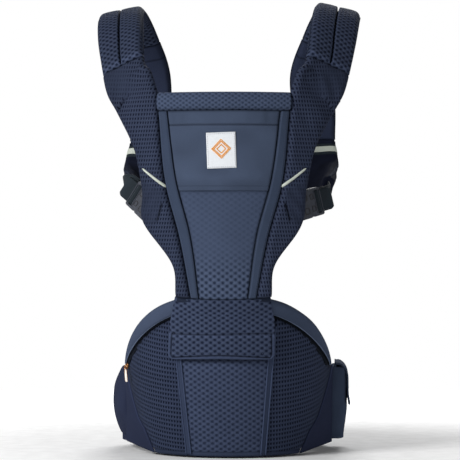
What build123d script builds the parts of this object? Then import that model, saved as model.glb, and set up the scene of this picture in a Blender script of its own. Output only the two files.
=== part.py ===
from build123d import *
import os
from math import asin, cos, radians, sin

# Soft baby carrier with a foam hip seat.
# Fabric and padding are plain closed solids at their true place and size; buckles, zip and sliders are working
# pieces. Millimetres. +X is the right-hand side seen from the front, +Y runs from the front of the carrier to
# the wearer's back, +Z is up. The origin is the wearer's torso axis in the plane of the belt's lower edge.

os.makedirs("parts", exist_ok=True)

# ---- driving dimensions -------------------------------------------------------------------------------
WAIST_A, WAIST_B = 140, 103  # semi-axes of the waist opening, across and front to back
BELT_T = 14  # thickness of the padded belt
BELT_LOW, BELT_HIGH = 6, 124
BELLY_HIGH = 160  # top of the belt's front pad, behind the seat
SEAT_BACK_Y = -70  # the seat and the front pad end here, and the side pads begin
SEAT_Y = -60  # centre of the seat's elliptical sections
SEAT_SECTIONS = ((0, 126, 108), (127, 151, 150), (240, 153, 174))  # height, semi-axes of the seat
VAULT_Z, VAULT_A, VAULT_H = 127, 151, 102  # the seat's arched top edge: spring line, half width, rise
SHELF_SLOPE = 0.25  # fall of the seat's shelf towards the wearer
COVER_T = 4  # seat covers
RIM_LOW_A, RIM_LOW_H = 148, 83  # lower edge of the rim band
ZIP_LOW_A, ZIP_LOW_H = 145, 74  # lower edge of the zip tape

PANEL_AXIS_Y = -20  # the body panel is bent about this upright axis
PANEL_R = 220  # outer radius of its lining, where the face fabrics begin
LINING_T, FACE_T, STRIP_T, WING_T = 4, 3, 5, 9
PANEL_LOW, PANEL_HIGH = 233, 514
FLAP_LOW, FLAP_HIGH = 144, 229

STRAP_T = 18  # shoulder pad thickness
WEB_T = 1.8
SIDE_WEB, CHEST_WEB, WAIST_WEB = 32, 25, 38  # webbing widths
CHEST_Z = 498
BUCKLE_R = 207  # distance of the side buckles from the panel's axis
BUCKLE_EDGE_X, BUCKLE_Z = 108, 356
SIDE_TILT = {"left": 38, "right": 15}  # rise of each side buckle towards its strap, in degrees

# Front-view edges of the panel's fabrics, as (x, z) from bottom to top, on the right-hand side
STRIP_INNER = ((34, PANEL_LOW), (47, 320), (64, 385), (78, 488))
STRIP_OUTER = ((46, PANEL_LOW), (62, 315), (80, 383), (91, 488))
ARMHOLE = ((67, PANEL_LOW), (69, 268), (103, 322), (115, 384), (127, 439), (148, 482), (166, PANEL_HIGH))
LABEL_X, LABEL_Z, LABEL_W, LABEL_H = -7, 431, 50, 53
POCKET_LOW = 378  # bottom seam of the hood pocket
BAND_LOW = 488  # bottom seam of the neck band

# Shoulder strap, right-hand side: centre, direction of its width, width
STRAP_STATIONS = (
    ((125, -202, PANEL_HIGH + 0.2), (75, 54, 0), 84),
    ((138, -190, 532), (66, 40, -8), 73),
    ((146, -172, 558), (62, 32, -22), 69),
    ((153, -135, 599), (64, 20, -10), 67),
    ((158, -85, 629), (66, 8, -10), 66),
    ((160, -30, 640), (67, 0, -11), 66),
    ((156, 25, 632), (67, -4, -8), 66),
    ((145, 68, 603), (1, 0, 0), 67),
    ((133, 95, 562), (1, 0, 0), 68),
    ((129, 105, 510), (1, 0, 0), 64),
    ((126, 100, 460), (1, 0, 0), 61),
    ((129, 82, 424), (1, 0, 0), 64),
    ((133, 45, 402), (0.85, 0, 0.5), 56),
    ((140, 0, 386), (0.5, 0, 0.85), 50),
    ((143, -45, 379), (0.2, 0, 0.98), 44),
)
ARCH_FROM, BACK_FROM, TAIL_FROM = 2, 7, 10  # stations where the strap's sewn sections meet


# ---- belt and hip seat --------------------------------------------------------------------------------
def belt_ring(inset, thickness, low, high, x_span, y_span):
    """Part of an elliptical ring round the waist: inset from the waist opening, kept inside the x and y spans."""
    with BuildPart() as ring:
        with BuildSketch(Plane.XY.offset(low)):
            Ellipse(WAIST_A + inset + thickness, WAIST_B + inset + thickness)
            Ellipse(WAIST_A + inset, WAIST_B + inset, mode=Mode.SUBTRACT)
            with Locations(((x_span[0] + x_span[1]) / 2, (y_span[0] + y_span[1]) / 2)):
                Rectangle(x_span[1] - x_span[0], y_span[1] - y_span[0], mode=Mode.INTERSECT)
        extrude(amount=high - low)
    return ring


def seat_cone(grow):
    """The seat's tapered elliptical body, grown outwards."""
    with BuildPart() as cone:
        for height, semi_x, semi_y in SEAT_SECTIONS:
            with BuildSketch(Plane.XY.offset(height)):
                with Locations((0, SEAT_Y)):
                    Ellipse(semi_x + grow, semi_y + grow)
        loft(ruled=True)
    return cone.part


def arch_prism(half_width, rise):
    """Everything ahead of the belt's sides and under an elliptical arch seen from the front."""
    with BuildPart() as prism:
        with BuildSketch(Plane.XZ.offset(-SEAT_BACK_Y)):
            with Locations((0, VAULT_Z)):
                Ellipse(half_width, rise)
            with Locations((0, VAULT_Z / 2)):
                Rectangle(2 * half_width, VAULT_Z)
        extrude(amount=200)
    return prism.part


def shelf_block(drop):
    """Everything under the seat's sloping shelf, lowered by drop."""
    front, back = -270, SEAT_BACK_Y
    top_front = VAULT_Z + VAULT_H - drop
    with BuildPart() as block:
        with BuildSketch(Plane.YZ):
            with BuildLine():
                Polyline(
                    (front, 0),
                    (back, 0),
                    (back, top_front - SHELF_SLOPE * (back + 232)),
                    (-232, top_front),
                    (front, top_front),
                    close=True,
                )
            make_face()
        extrude(amount=200, both=True)
    return block.part


def waist_post(inset):
    """The wearer's waist with the belt's front pad round it."""
    with BuildPart() as post:
        with BuildSketch():
            Ellipse(WAIST_A + inset, WAIST_B + inset)
        extrude(amount=300)
    return post.part


def draw_edge(points):
    """A straight or smoothly curved edge through the points."""
    if len(points) == 2:
        Line(*points)
    else:
        Spline(*points)


def front_face(inner, outer):
    """A face in front view between two edges, each from bottom to top."""
    with BuildSketch(Plane.XZ) as face:
        with BuildLine():
            draw_edge(inner)
            Line(inner[-1], outer[-1])
            draw_edge(outer)
            Line(outer[0], inner[0])
        make_face()
    return face.sketch


def mirrored(piece):
    """The same piece on the left-hand side."""
    with BuildPart() as twin:
        mirror(piece.part, about=Plane.YZ)
    return twin


PIPING_LOW, PIPING_HIGH = (54, 0), (74, 232)  # seams between the seat's middle and side covers, (x, z)
TOWARDS_FRONT = (0, -1, 0)

with BuildPart() as seat_foam_core:
    add(seat_cone(-COVER_T))
    add(arch_prism(VAULT_A - COVER_T, VAULT_H - COVER_T), mode=Mode.INTERSECT)
    add(shelf_block(COVER_T), mode=Mode.INTERSECT)
    add(waist_post(BELT_T), mode=Mode.SUBTRACT)
    split(bisect_by=Plane.XY.offset(COVER_T), keep=Keep.TOP)
    split(bisect_by=Plane.XZ.offset(COVER_T - SEAT_BACK_Y), keep=Keep.TOP)

# Lining and top of the seat: everything between the covers and the foam
with BuildPart() as seat_top_cover:
    add(seat_cone(-COVER_T))
    add(arch_prism(VAULT_A, VAULT_H), mode=Mode.INTERSECT)
    add(shelf_block(0), mode=Mode.INTERSECT)
    add(waist_post(BELT_T), mode=Mode.SUBTRACT)
    add(seat_foam_core.part, mode=Mode.SUBTRACT)

with BuildPart() as seat_skin:
    add(seat_cone(0))
    add(seat_cone(-COVER_T), mode=Mode.SUBTRACT)
    add(arch_prism(VAULT_A, VAULT_H), mode=Mode.INTERSECT)
    add(waist_post(BELT_T), mode=Mode.SUBTRACT)

MIDDLE = front_face(((-PIPING_LOW[0], 0), (-PIPING_HIGH[0], 232)), (PIPING_LOW, PIPING_HIGH))
SIDE = front_face((PIPING_LOW, PIPING_HIGH), ((200, 0), (200, 232)))

with BuildPart() as seat_cover_middle:
    add(seat_skin.part)
    extrude(MIDDLE, amount=300, dir=TOWARDS_FRONT, mode=Mode.INTERSECT)

with BuildPart() as seat_cover_right:
    add(seat_skin.part)
    extrude(SIDE, amount=300, dir=TOWARDS_FRONT, mode=Mode.INTERSECT)

seat_cover_left = mirrored(seat_cover_right)

with BuildPart() as seat_piping:
    PIPING_W = 5
    add(seat_cone(2.2))
    add(seat_cone(0), mode=Mode.SUBTRACT)
    piping_inner = ((PIPING_LOW[0] - PIPING_W, 0), (PIPING_HIGH[0] - PIPING_W - 5, 170))
    piping_outer = (PIPING_LOW, (PIPING_HIGH[0] - 5, 170))
    extrude(front_face(piping_inner, piping_outer), amount=300, dir=TOWARDS_FRONT, mode=Mode.INTERSECT)
    mirror(about=Plane.YZ)


def rim_layer(inner_grow, outer_grow, upper, lower):
    """A crescent of cloth on the seat's front, between two arches given as half width and rise."""
    with BuildPart() as layer:
        add(seat_cone(outer_grow))
        add(seat_cone(inner_grow), mode=Mode.SUBTRACT)
        add(arch_prism(*upper), mode=Mode.INTERSECT)
        add(arch_prism(*lower), mode=Mode.SUBTRACT)
        with BuildSketch(Plane.XY) as under:
            Rectangle(500, 700)
        extrude(amount=VAULT_Z, mode=Mode.SUBTRACT)
    return layer


seat_rim_band = rim_layer(0.2, 3, (VAULT_A + 2, VAULT_H), (RIM_LOW_A, RIM_LOW_H))
zip_tape = rim_layer(0.2, 1.6, (RIM_LOW_A, RIM_LOW_H), (ZIP_LOW_A, ZIP_LOW_H))

belt_front_pad = belt_ring(0, BELT_T, BELT_LOW, BELLY_HIGH, (-170, 170), (-130, SEAT_BACK_Y))
belt_pad_right = belt_ring(0, BELT_T, BELT_LOW, BELT_HIGH, (62, 170), (SEAT_BACK_Y, 130))
belt_pad_left = mirrored(belt_pad_right)
lumbar_pad = belt_ring(0, BELT_T, 2, 142, (-62, 62), (0, 130))
side_cover_left = belt_ring(BELT_T, 19, 8, BELT_HIGH + 2, (-180, 0), (SEAT_BACK_Y + 2, 45))

with BuildPart() as waist_webbing:
    add(belt_ring(BELT_T, 2.4, 50, 50 + WAIST_WEB, (-170, -20), (46, 130)).part)
    add(belt_ring(BELT_T, 2.4, 50, 50 + WAIST_WEB, (34, 170), (46, 130)).part)

# Belt pocket on the right, with its flap hinged along its inner top edge
POCKET_X, POCKET_Y, POCKET_Z = (130, 172), (-62, 34), (14, 122)
POUCH_X, POUCH_Y, POUCH_LOW = (158, 169), (-58, 30), 18
FLAP_HINGE_X, FLAP_HINGE_Z = 157, 125.5
POCKET_FLAP_T, POCKET_FLAP_END = 2.5, 66


def block(x_span, y_span, z_span, mode=Mode.ADD):
    """A box by its spans, added to the part being built."""
    spans = (x_span, y_span, z_span)
    with Locations(tuple((low + high) / 2 for low, high in spans)):
        Box(*(high - low for low, high in spans), mode=mode)


with BuildPart() as side_pocket_right:
    block(POCKET_X, POCKET_Y, POCKET_Z)
    fillet(side_pocket_right.edges().filter_by(Axis.Z).group_by(Axis.X)[-1], 6)
    add(waist_post(BELT_T + 0.2), mode=Mode.SUBTRACT)
    block(POUCH_X, POUCH_Y, (POUCH_LOW, 200), Mode.SUBTRACT)

with BuildPart() as pocket_flap:
    flap_top = (FLAP_HINGE_Z - POCKET_FLAP_T / 2, FLAP_HINGE_Z + POCKET_FLAP_T / 2)
    flap_out = POCKET_X[1] + 1 + POCKET_FLAP_T
    block((FLAP_HINGE_X, flap_out), (-60, 32), flap_top)
    block((flap_out - POCKET_FLAP_T, flap_out), (-60, 32), (POCKET_FLAP_END, flap_top[1]))
    fillet(pocket_flap.edges().filter_by(Axis.Y).group_by(Axis.Z)[-1].sort_by(Axis.X)[-1], 2)

# Zip slider and pull at the left end of the zip; the slider runs up along the tape
ZIP_AT = (-154, -92, 130)
ZIP_RUN = (0.228, -0.78, 0.582)
zip_plane = Plane(ZIP_AT, x_dir=ZIP_RUN, z_dir=(-0.97, -0.22, 0.085))

with BuildPart(zip_plane) as zip_slider:
    Box(10, 8, 3)
    with Locations((0, 0, 2.4)):
        Box(6, 3, 1.8)

PULL_L, PULL_TOP = 24, (-159.3, -92, 130)
with BuildPart() as zip_pull:
    with Locations((PULL_TOP[0], PULL_TOP[1], PULL_TOP[2] - PULL_L / 2 + 2)):
        Box(1.8, 6, PULL_L)
    fillet(zip_pull.edges().filter_by(Axis.X), 2.5)


# ---- fastening flap and body panel --------------------------------------------------------------------
with BuildPart() as panel_flap:
    add(seat_cone(8.5))
    add(seat_cone(4), mode=Mode.SUBTRACT)
    with BuildSketch(Plane.XZ) as flap_outline:
        with BuildLine():
            left_edge = ((-67, FLAP_HIGH), (-73, 195), (-74, FLAP_LOW))
            right_edge = ((74, FLAP_LOW), (73, 195), (67, FLAP_HIGH))
            Polyline(*left_edge, *right_edge, close=True)
        make_face()
        fillet(flap_outline.vertices().group_by(Axis.Z)[0], 7)
    extrude(flap_outline.sketch, amount=300, dir=TOWARDS_FRONT, mode=Mode.INTERSECT)

with BuildPart() as flap_fastener:
    add(seat_cone(2.5))
    add(seat_cone(0), mode=Mode.SUBTRACT)
    patch = front_face(((-58, 150), (-58, 188)), ((58, 150), (58, 188)))
    extrude(patch, amount=300, dir=TOWARDS_FRONT, mode=Mode.INTERSECT)


def panel_layer(inner_r, thickness, face, holes=()):
    """A layer of the bent body panel, trimmed to its front-view face and cut round the holes."""
    with BuildPart() as layer:
        with BuildSketch(Plane.XY.offset(PANEL_LOW - 5)):
            with Locations((0, PANEL_AXIS_Y)):
                Circle(inner_r + thickness)
                Circle(inner_r, mode=Mode.SUBTRACT)
        extrude(amount=PANEL_HIGH - PANEL_LOW + 10)
        extrude(face, amount=300, dir=TOWARDS_FRONT, mode=Mode.INTERSECT)
        for hole in holes:
            extrude(hole, amount=300, dir=TOWARDS_FRONT, mode=Mode.SUBTRACT)
    return layer


def flipped(edge):
    """An edge's points on the left-hand side."""
    return tuple((-x, z) for x, z in edge)


WHOLE_FACE = front_face(flipped(ARMHOLE), ARMHOLE)
BAND_FACE = front_face(((-91, BAND_LOW), (-91, PANEL_HIGH)), ((91, BAND_LOW), (91, PANEL_HIGH)))
BETWEEN_WINGS = front_face(flipped(STRIP_OUTER), STRIP_OUTER)
MIDDLE_FACE = front_face(flipped(STRIP_INNER), STRIP_INNER)

panel_lining = panel_layer(PANEL_R - LINING_T, LINING_T, WHOLE_FACE)
panel_top_band = panel_layer(PANEL_R, WING_T + 1, BAND_FACE)

with BuildPart() as wing_right:
    add(panel_layer(PANEL_R, WING_T, WHOLE_FACE, (BETWEEN_WINGS, BAND_FACE)).part)
    split(bisect_by=Plane.YZ, keep=Keep.TOP)

wing_left = mirrored(wing_right)
side_strips = panel_layer(PANEL_R, STRIP_T, BETWEEN_WINGS, (MIDDLE_FACE,))
with BuildPart() as hood_pocket:
    add(panel_layer(PANEL_R, FACE_T, MIDDLE_FACE).part)
    split(bisect_by=Plane.XY.offset(POCKET_LOW), keep=Keep.TOP)

with BuildPart() as panel_lower_mesh:
    add(panel_layer(PANEL_R, FACE_T, MIDDLE_FACE).part)
    split(bisect_by=Plane.XY.offset(POCKET_LOW), keep=Keep.BOTTOM)

label_left = ((LABEL_X - LABEL_W / 2, LABEL_Z - LABEL_H / 2), (LABEL_X - LABEL_W / 2, LABEL_Z + LABEL_H / 2))
label_right = tuple((x + LABEL_W, z) for x, z in label_left)
label_patch = panel_layer(PANEL_R + FACE_T, 0.8, front_face(label_left, label_right))

REFLECTOR_LOW = ((80, 384), (97, 391), (117, 407))
REFLECTOR_W = 4.5
reflector_high = tuple((x, z + REFLECTOR_W) for x, z in REFLECTOR_LOW)
with BuildPart() as wing_reflectors:
    add(panel_layer(PANEL_R + WING_T, 1.2, front_face(REFLECTOR_LOW, reflector_high)).part)
    mirror(about=Plane.YZ)


# ---- shoulder straps ----------------------------------------------------------------------------------
def strap_plane(index):
    """The section plane at a strap station, square to it; the strap starts level and ends facing forward."""
    centres = [Vector(*station[0]) for station in STRAP_STATIONS]
    if index == 0:
        along = Vector(0, 0, 1)
    elif index == len(centres) - 1:
        along = Vector(0, -1, 0)
    else:
        along = centres[index + 1] - centres[index - 1]
    return Plane(centres[index], x_dir=STRAP_STATIONS[index][1], z_dir=along)


def strap_section(first, last, margin=0.0):
    """The strap's padding between two stations."""
    with BuildPart() as pad:
        for index in range(first, last + 1):
            with BuildSketch(strap_plane(index)):
                Rectangle(STRAP_STATIONS[index][2] + margin, STRAP_T + margin)
        loft(ruled=True)
    return pad


strap_front_right = strap_section(0, ARCH_FROM)
strap_arch_right = strap_section(ARCH_FROM, BACK_FROM)
strap_back_right = strap_section(BACK_FROM, TAIL_FROM)
strap_tail_right = strap_section(TAIL_FROM, len(STRAP_STATIONS) - 1)
strap_front_left = mirrored(strap_front_right)
strap_arch_left = mirrored(strap_arch_right)
strap_back_left = mirrored(strap_back_right)
strap_tail_left = mirrored(strap_tail_right)

with BuildPart() as strap_reflectors:
    add(strap_section(TAIL_FROM, TAIL_FROM + 1, 2.6).part)
    add(strap_section(TAIL_FROM, TAIL_FROM + 1, 0.6).part, mode=Mode.SUBTRACT)
    block((50, 200), (0, 200), (437, 450), Mode.INTERSECT)
    mirror(about=Plane.YZ)


# ---- side release buckles -----------------------------------------------------------------------------
class Buckle:
    """Sizes of a side release buckle for a webbing width, in its own frame: x from female to male."""

    def __init__(self, webbing):
        self.webbing = webbing
        self.width = webbing + 8
        self.thick = 2.5 + 0.27 * webbing
        self.mouth = 0.38 * webbing
        self.rear = -0.62 * webbing
        self.wall = 2.4
        self.cavity_h = self.thick - 4
        self.base_end = self.mouth + 0.62 * webbing
        self.prong_l = 0.56 * webbing
        self.prong_y = webbing / 2 - 1.4
        self.slot = 0.18 * webbing


def female_half(at, size):
    with BuildPart(at) as female:
        block((size.rear, size.mouth), (-size.width / 2, size.width / 2), (-size.thick / 2, size.thick / 2))
        fillet(female.edges().filter_by(lambda e: abs(e.tangent_at(0.5).dot(at.z_dir)) > 0.99), 3)
        cavity_y = size.width / 2 - size.wall
        deep = size.mouth - size.prong_l - 1.5
        cavity_z = (-size.cavity_h / 2, size.cavity_h / 2)
        block((deep, size.mouth + 1), (-cavity_y, cavity_y), cavity_z, Mode.SUBTRACT)
        window = (size.mouth - 0.36 * size.webbing, size.mouth + 1)
        block(window, (-size.width, size.width), cavity_z, Mode.SUBTRACT)
        slot_x = (size.rear + 4, size.rear + 4 + 0.1 * size.webbing)
        slot_y = size.webbing / 2 + 0.5
        block(slot_x, (-slot_y, slot_y), (-size.thick, size.thick), Mode.SUBTRACT)
    return female


def male_half(at, size):
    base = (size.mouth + 0.4, size.base_end)
    base_h = size.thick / 2 - 1
    tongue_h = size.cavity_h / 2 - 0.5
    with BuildPart(at) as male:
        block(base, (-size.width / 2, size.width / 2), (-base_h, base_h))
        fillet(male.edges().filter_by(lambda e: abs(e.tangent_at(0.5).dot(at.z_dir)) > 0.99), 3)
        slot_x = (size.base_end - 4 - size.slot, size.base_end - 4)
        slot_y = size.webbing / 2 + 0.6
        block(slot_x, (-slot_y, slot_y), (-size.thick, size.thick), Mode.SUBTRACT)
        block((size.mouth - size.prong_l + 1, base[0]), (-3.2, 3.2), (-tongue_h, tongue_h))
    return male


def prong(at, size, side):
    """One springy arm of the male half, with the pad that is squeezed; side is +1 or -1 across the buckle."""
    height = size.cavity_h / 2 - 0.5
    arm = sorted((side * (size.prong_y - 2.4), side * (size.prong_y + 2.4)))
    pad = sorted((side * size.prong_y, side * (size.width / 2 - 0.5)))
    pad_x = (size.mouth - size.prong_l + 0.8, size.mouth - 0.24 * size.webbing)
    window_end = size.mouth - 0.36 * size.webbing
    with BuildPart(at) as arm_part:
        block((size.mouth - size.prong_l, size.mouth - 0.1), arm, (-height, height))
        block((window_end + 0.6, pad_x[1] + 2), pad, (-height, height))
    return arm_part


def place_sides():
    """The frames of the two side buckles: x outwards along the webbing, z away from the wearer."""
    planes = {}
    for name, sign in (("left", -1), ("right", 1)):
        yaw = asin(BUCKLE_EDGE_X / BUCKLE_R)
        tilt = radians(SIDE_TILT[name])
        outwards = (sign * cos(yaw) * cos(tilt), sin(yaw) * cos(tilt), sin(tilt))
        facing = (sign * sin(yaw), -cos(yaw), 0)
        origin = (sign * BUCKLE_EDGE_X, PANEL_AXIS_Y - BUCKLE_R * cos(yaw), BUCKLE_Z)
        planes[name] = Plane(origin, x_dir=outwards, z_dir=facing)
    return planes


def webbing_loop(at, size):
    """The strap webbing doubled round the male half's bar."""
    start = size.base_end - 4 - size.slot + 0.2
    height = size.thick + 2.4
    length = 28
    with BuildPart() as loop:
        across = Plane(at.origin, x_dir=at.x_dir, z_dir=at.y_dir)
        with BuildSketch(across):
            with Locations((start + length / 2, 0)):
                SlotOverall(length, height)
                SlotOverall(length - 2 * WEB_T, height - 2 * WEB_T, mode=Mode.SUBTRACT)
        extrude(amount=size.webbing / 2, both=True)
    return loop


def webbing_link(at, sign):
    """The webbing from the strap's end, behind the male half."""
    behind = 9.2
    tail, direction, _ = STRAP_STATIONS[-1]
    run_in = Plane(at.from_local_coords(Vector(46, 0, -behind - 2)), x_dir=at.y_dir, z_dir=-at.x_dir)
    run_end = Plane(at.from_local_coords(Vector(14, 0, -behind)), x_dir=at.y_dir, z_dir=-at.x_dir)
    across = (sign * direction[0], 0, direction[2])
    tail_plane = Plane((sign * tail[0], tail[1], tail[2]), x_dir=across, z_dir=TOWARDS_FRONT)
    with BuildPart() as link:
        for section in (tail_plane, run_in):
            with BuildSketch(section):
                Rectangle(SIDE_WEB, WEB_T)
        loft(ruled=True)
        for section in (run_in, run_end):
            with BuildSketch(section):
                Rectangle(SIDE_WEB, WEB_T)
        loft(ruled=True)
    return link


SIDES = place_sides()
side_size, chest_size, waist_size = Buckle(SIDE_WEB), Buckle(CHEST_WEB), Buckle(WAIST_WEB)
CHEST_AT = Plane((0, 120, CHEST_Z), x_dir=(1, 0, 0), z_dir=(0, 1, 0))
WAIST_AT = Plane((0, WAIST_B + BELT_T + 9.8, 50 + WAIST_WEB / 2), x_dir=(1, 0, 0), z_dir=(0, 1, 0))


def buckle_tab(at, size):
    """The webbing tab that sews a female half to the panel's edge."""
    with BuildPart(at) as tab:
        block((size.rear - 26, size.rear - 0.2), (-size.webbing / 2, size.webbing / 2), (0, WEB_T))
    return tab


with BuildPart() as side_buckle_tabs:
    for at in SIDES.values():
        add(buckle_tab(at, side_size).part)

# ---- chest strap, across the wearer's back ------------------------------------------------------------
SLIDER_X = (112, 134)
with BuildPart() as chest_sliders:
    block((-SLIDER_X[1], -SLIDER_X[0]), (115.3, 118.4), (CHEST_Z - 15, CHEST_Z + 15))
    block(SLIDER_X, (115.3, 125.4), (CHEST_Z - 15, CHEST_Z + 15))

with BuildPart() as chest_webbing:
    half = CHEST_WEB / 2
    block((-SLIDER_X[1], chest_size.rear), (118.4, 120.0), (CHEST_Z - half, CHEST_Z + half))
    block((10, SLIDER_X[1]), (125.4, 127.0), (CHEST_Z - half, CHEST_Z + half))

# ---- pieces and files ---------------------------------------------------------------------------------
PIECES = {
    "seat_foam_core": seat_foam_core,
    "seat_top_cover": seat_top_cover,
    "seat_cover_middle": seat_cover_middle,
    "seat_cover_left": seat_cover_left,
    "seat_cover_right": seat_cover_right,
    "seat_piping": seat_piping,
    "seat_rim_band": seat_rim_band,
    "zip_tape": zip_tape,
    "zip_slider": zip_slider,
    "zip_pull": zip_pull,
    "belt_front_pad": belt_front_pad,
    "belt_pad_left": belt_pad_left,
    "belt_pad_right": belt_pad_right,
    "lumbar_pad": lumbar_pad,
    "side_cover_left": side_cover_left,
    "side_pocket_right": side_pocket_right,
    "pocket_flap": pocket_flap,
    "waist_webbing": waist_webbing,
    "flap_fastener": flap_fastener,
    "panel_flap": panel_flap,
    "panel_lining": panel_lining,
    "panel_top_band": panel_top_band,
    "hood_pocket": hood_pocket,
    "panel_lower_mesh": panel_lower_mesh,
    "label_patch": label_patch,
    "side_strips": side_strips,
    "wing_left": wing_left,
    "wing_right": wing_right,
    "wing_reflectors": wing_reflectors,
    "strap_front_left": strap_front_left,
    "strap_front_right": strap_front_right,
    "strap_arch_left": strap_arch_left,
    "strap_arch_right": strap_arch_right,
    "strap_back_left": strap_back_left,
    "strap_back_right": strap_back_right,
    "strap_tail_left": strap_tail_left,
    "strap_tail_right": strap_tail_right,
    "strap_reflectors": strap_reflectors,
    "side_buckle_tabs": side_buckle_tabs,
    "chest_sliders": chest_sliders,
    "chest_webbing": chest_webbing,
}

with BuildPart() as side_webbing:
    add(webbing_link(SIDES["left"], -1).part)
    add(webbing_link(SIDES["right"], 1).part)

PIECES["side_webbing"] = side_webbing
for name in SIDES:
    PIECES[f"side_{name}_loop"] = webbing_loop(SIDES[name], side_size)

for name, at, size in (
    ("side_left", SIDES["left"], side_size),
    ("side_right", SIDES["right"], side_size),
    ("chest", CHEST_AT, chest_size),
    ("waist", WAIST_AT, waist_size),
):
    PIECES[f"{name}_buckle_female"] = female_half(at, size)
    PIECES[f"{name}_buckle_male"] = male_half(at, size)
    upwards = 1 if at.y_dir.Z > 0 else -1
    PIECES[f"{name}_prong_upper"] = prong(at, size, upwards)
    PIECES[f"{name}_prong_lower"] = prong(at, size, -upwards)

for label, piece in PIECES.items():
    piece.part.label = label
    export_step(piece.part, f"parts/{label}.step")
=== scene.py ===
import math

import bpy
import numpy as np
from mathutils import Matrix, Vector
from mathutils.bvhtree import BVHTree


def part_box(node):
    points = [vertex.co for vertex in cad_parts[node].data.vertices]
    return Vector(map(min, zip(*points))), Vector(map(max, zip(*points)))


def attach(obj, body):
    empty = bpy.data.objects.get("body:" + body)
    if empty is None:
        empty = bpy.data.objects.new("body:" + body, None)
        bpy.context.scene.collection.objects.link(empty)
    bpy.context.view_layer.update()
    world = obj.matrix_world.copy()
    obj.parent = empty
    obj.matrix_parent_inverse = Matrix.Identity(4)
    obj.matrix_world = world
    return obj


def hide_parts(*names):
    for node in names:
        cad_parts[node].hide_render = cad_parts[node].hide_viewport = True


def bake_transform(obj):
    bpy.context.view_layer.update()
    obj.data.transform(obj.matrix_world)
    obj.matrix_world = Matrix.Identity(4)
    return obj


# Looks of a soft baby carrier with a foam hip seat. Metres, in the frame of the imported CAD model:
# +X right seen from the front, +Y towards the wearer's back, +Z up.

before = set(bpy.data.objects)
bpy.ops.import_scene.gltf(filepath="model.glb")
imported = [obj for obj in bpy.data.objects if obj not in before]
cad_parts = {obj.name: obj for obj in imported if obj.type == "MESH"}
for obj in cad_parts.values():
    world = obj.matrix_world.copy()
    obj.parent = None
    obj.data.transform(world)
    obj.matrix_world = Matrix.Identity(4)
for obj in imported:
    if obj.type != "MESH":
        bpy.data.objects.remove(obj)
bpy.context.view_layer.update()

# ---- driving dimensions, as in the CAD model -----------------------------------------------------------
MM = 0.001
THIN = 0.3 * MM  # the least that a coded piece rises from its base
WAIST_A, WAIST_B, BELT_T = 0.140, 0.103, 0.014
SEAT_Y, SEAT_BACK_Y = -0.060, -0.070
SEAT_HEIGHTS, SEAT_A, SEAT_B = (0, 0.127, 0.240), (0.126, 0.151, 0.153), (0.108, 0.150, 0.174)
VAULT_Z = 0.127
RIM_TOP = (0.149, 0.102, 3.0, 0.60)  # an arch's half width, rise, and how square and how steep it is
RIM_LOW = (0.148, 0.086, 2.6, 0.75)
ZIP_LOW = (0.1465, 0.0815, 2.6, 0.75)
SEAT_HEM = 0.007
SEAT_TURN = 0.150  # the radius that turns degrees round the seat into metres of cloth
RIM_SIDE = 0.1515  # the seat's half width under its rim
MIDDLE_TOP_X = 0.071  # the middle cover's half width at its top
GUSSET_FOOT = (0.151, -0.062)  # where the gusset meets the belt
ZIP_BACKING = ((0.1485, 0.088, 2.6, 0.75), (0.142, 0.070, 2.6, 0.75))
PIPING_LOW, PIPING_HIGH = (0.054, 0.0), (0.074, 0.232)
SEAM_Z = 0.2295  # where panel and flap meet
FLAP_LOW, FLAP_BOX, FLAP_CORNER = 0.1415, 0.1775, 0.008
FLAP_EDGE = ((FLAP_LOW, 0.195, SEAM_Z), (0.0745, 0.0728, 0.0663))  # heights, half widths
PATCH_X, PATCH_LOW, PATCH_HIGH = 0.058, 0.150, 0.188  # the hook-and-loop under the flap
FOLD_X, FOLD_LOW, FOLD_HIGH = 0.0655, 0.222, 0.238  # the cloth that joins panel and seat
PANEL_AXIS_Y, PANEL_R = -0.020, 0.220
PANEL_LOW, PANEL_HIGH, BAND_LOW, POCKET_LOW, POCKET_HEM = 0.233, 0.514, 0.488, 0.378, 0.468
BAND_X = 0.091
LINING_SEAM_X, LINING_SEAM_Z = 0.085, 0.400
POCKET_SAG_Z = 0.395  # where the hood pocket's slack gathers
MESH_OPEN_Z, MESH_SHUT_Z = 0.245, 0.300  # the lower mesh is stretched ever flatter between these heights
STRIP_INNER = ((0.034, PANEL_LOW), (0.047, 0.320), (0.064, 0.385), (0.078, 0.488))
STRIP_OUTER = ((0.046, PANEL_LOW), (0.062, 0.315), (0.080, 0.383), (0.091, 0.488))
ARMHOLE = (
    (0.067, PANEL_LOW), (0.069, 0.268), (0.103, 0.322), (0.115, 0.384),
    (0.127, 0.439), (0.148, 0.482), (0.166, PANEL_HIGH),
)
WING_DART_X, WING_DART_Z = 0.0837, (0.333, 0.361)
WOVEN_X, WOVEN_Z = 0.080, (0.328, 0.380)  # the plain patch on each wing, beside its buckle
REFLECTOR = ((0.0805, 0.382), (0.097, 0.394), (0.1145, 0.408))
LABEL_X, LABEL_Z, LABEL_W, LABEL_H, LABEL_LEAN = -0.0025, 0.4325, 0.041, 0.050, 0.035
STRAP_T = 0.018
ARCH_BOW = 0.0015  # how far the arch's edges bend in
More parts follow.
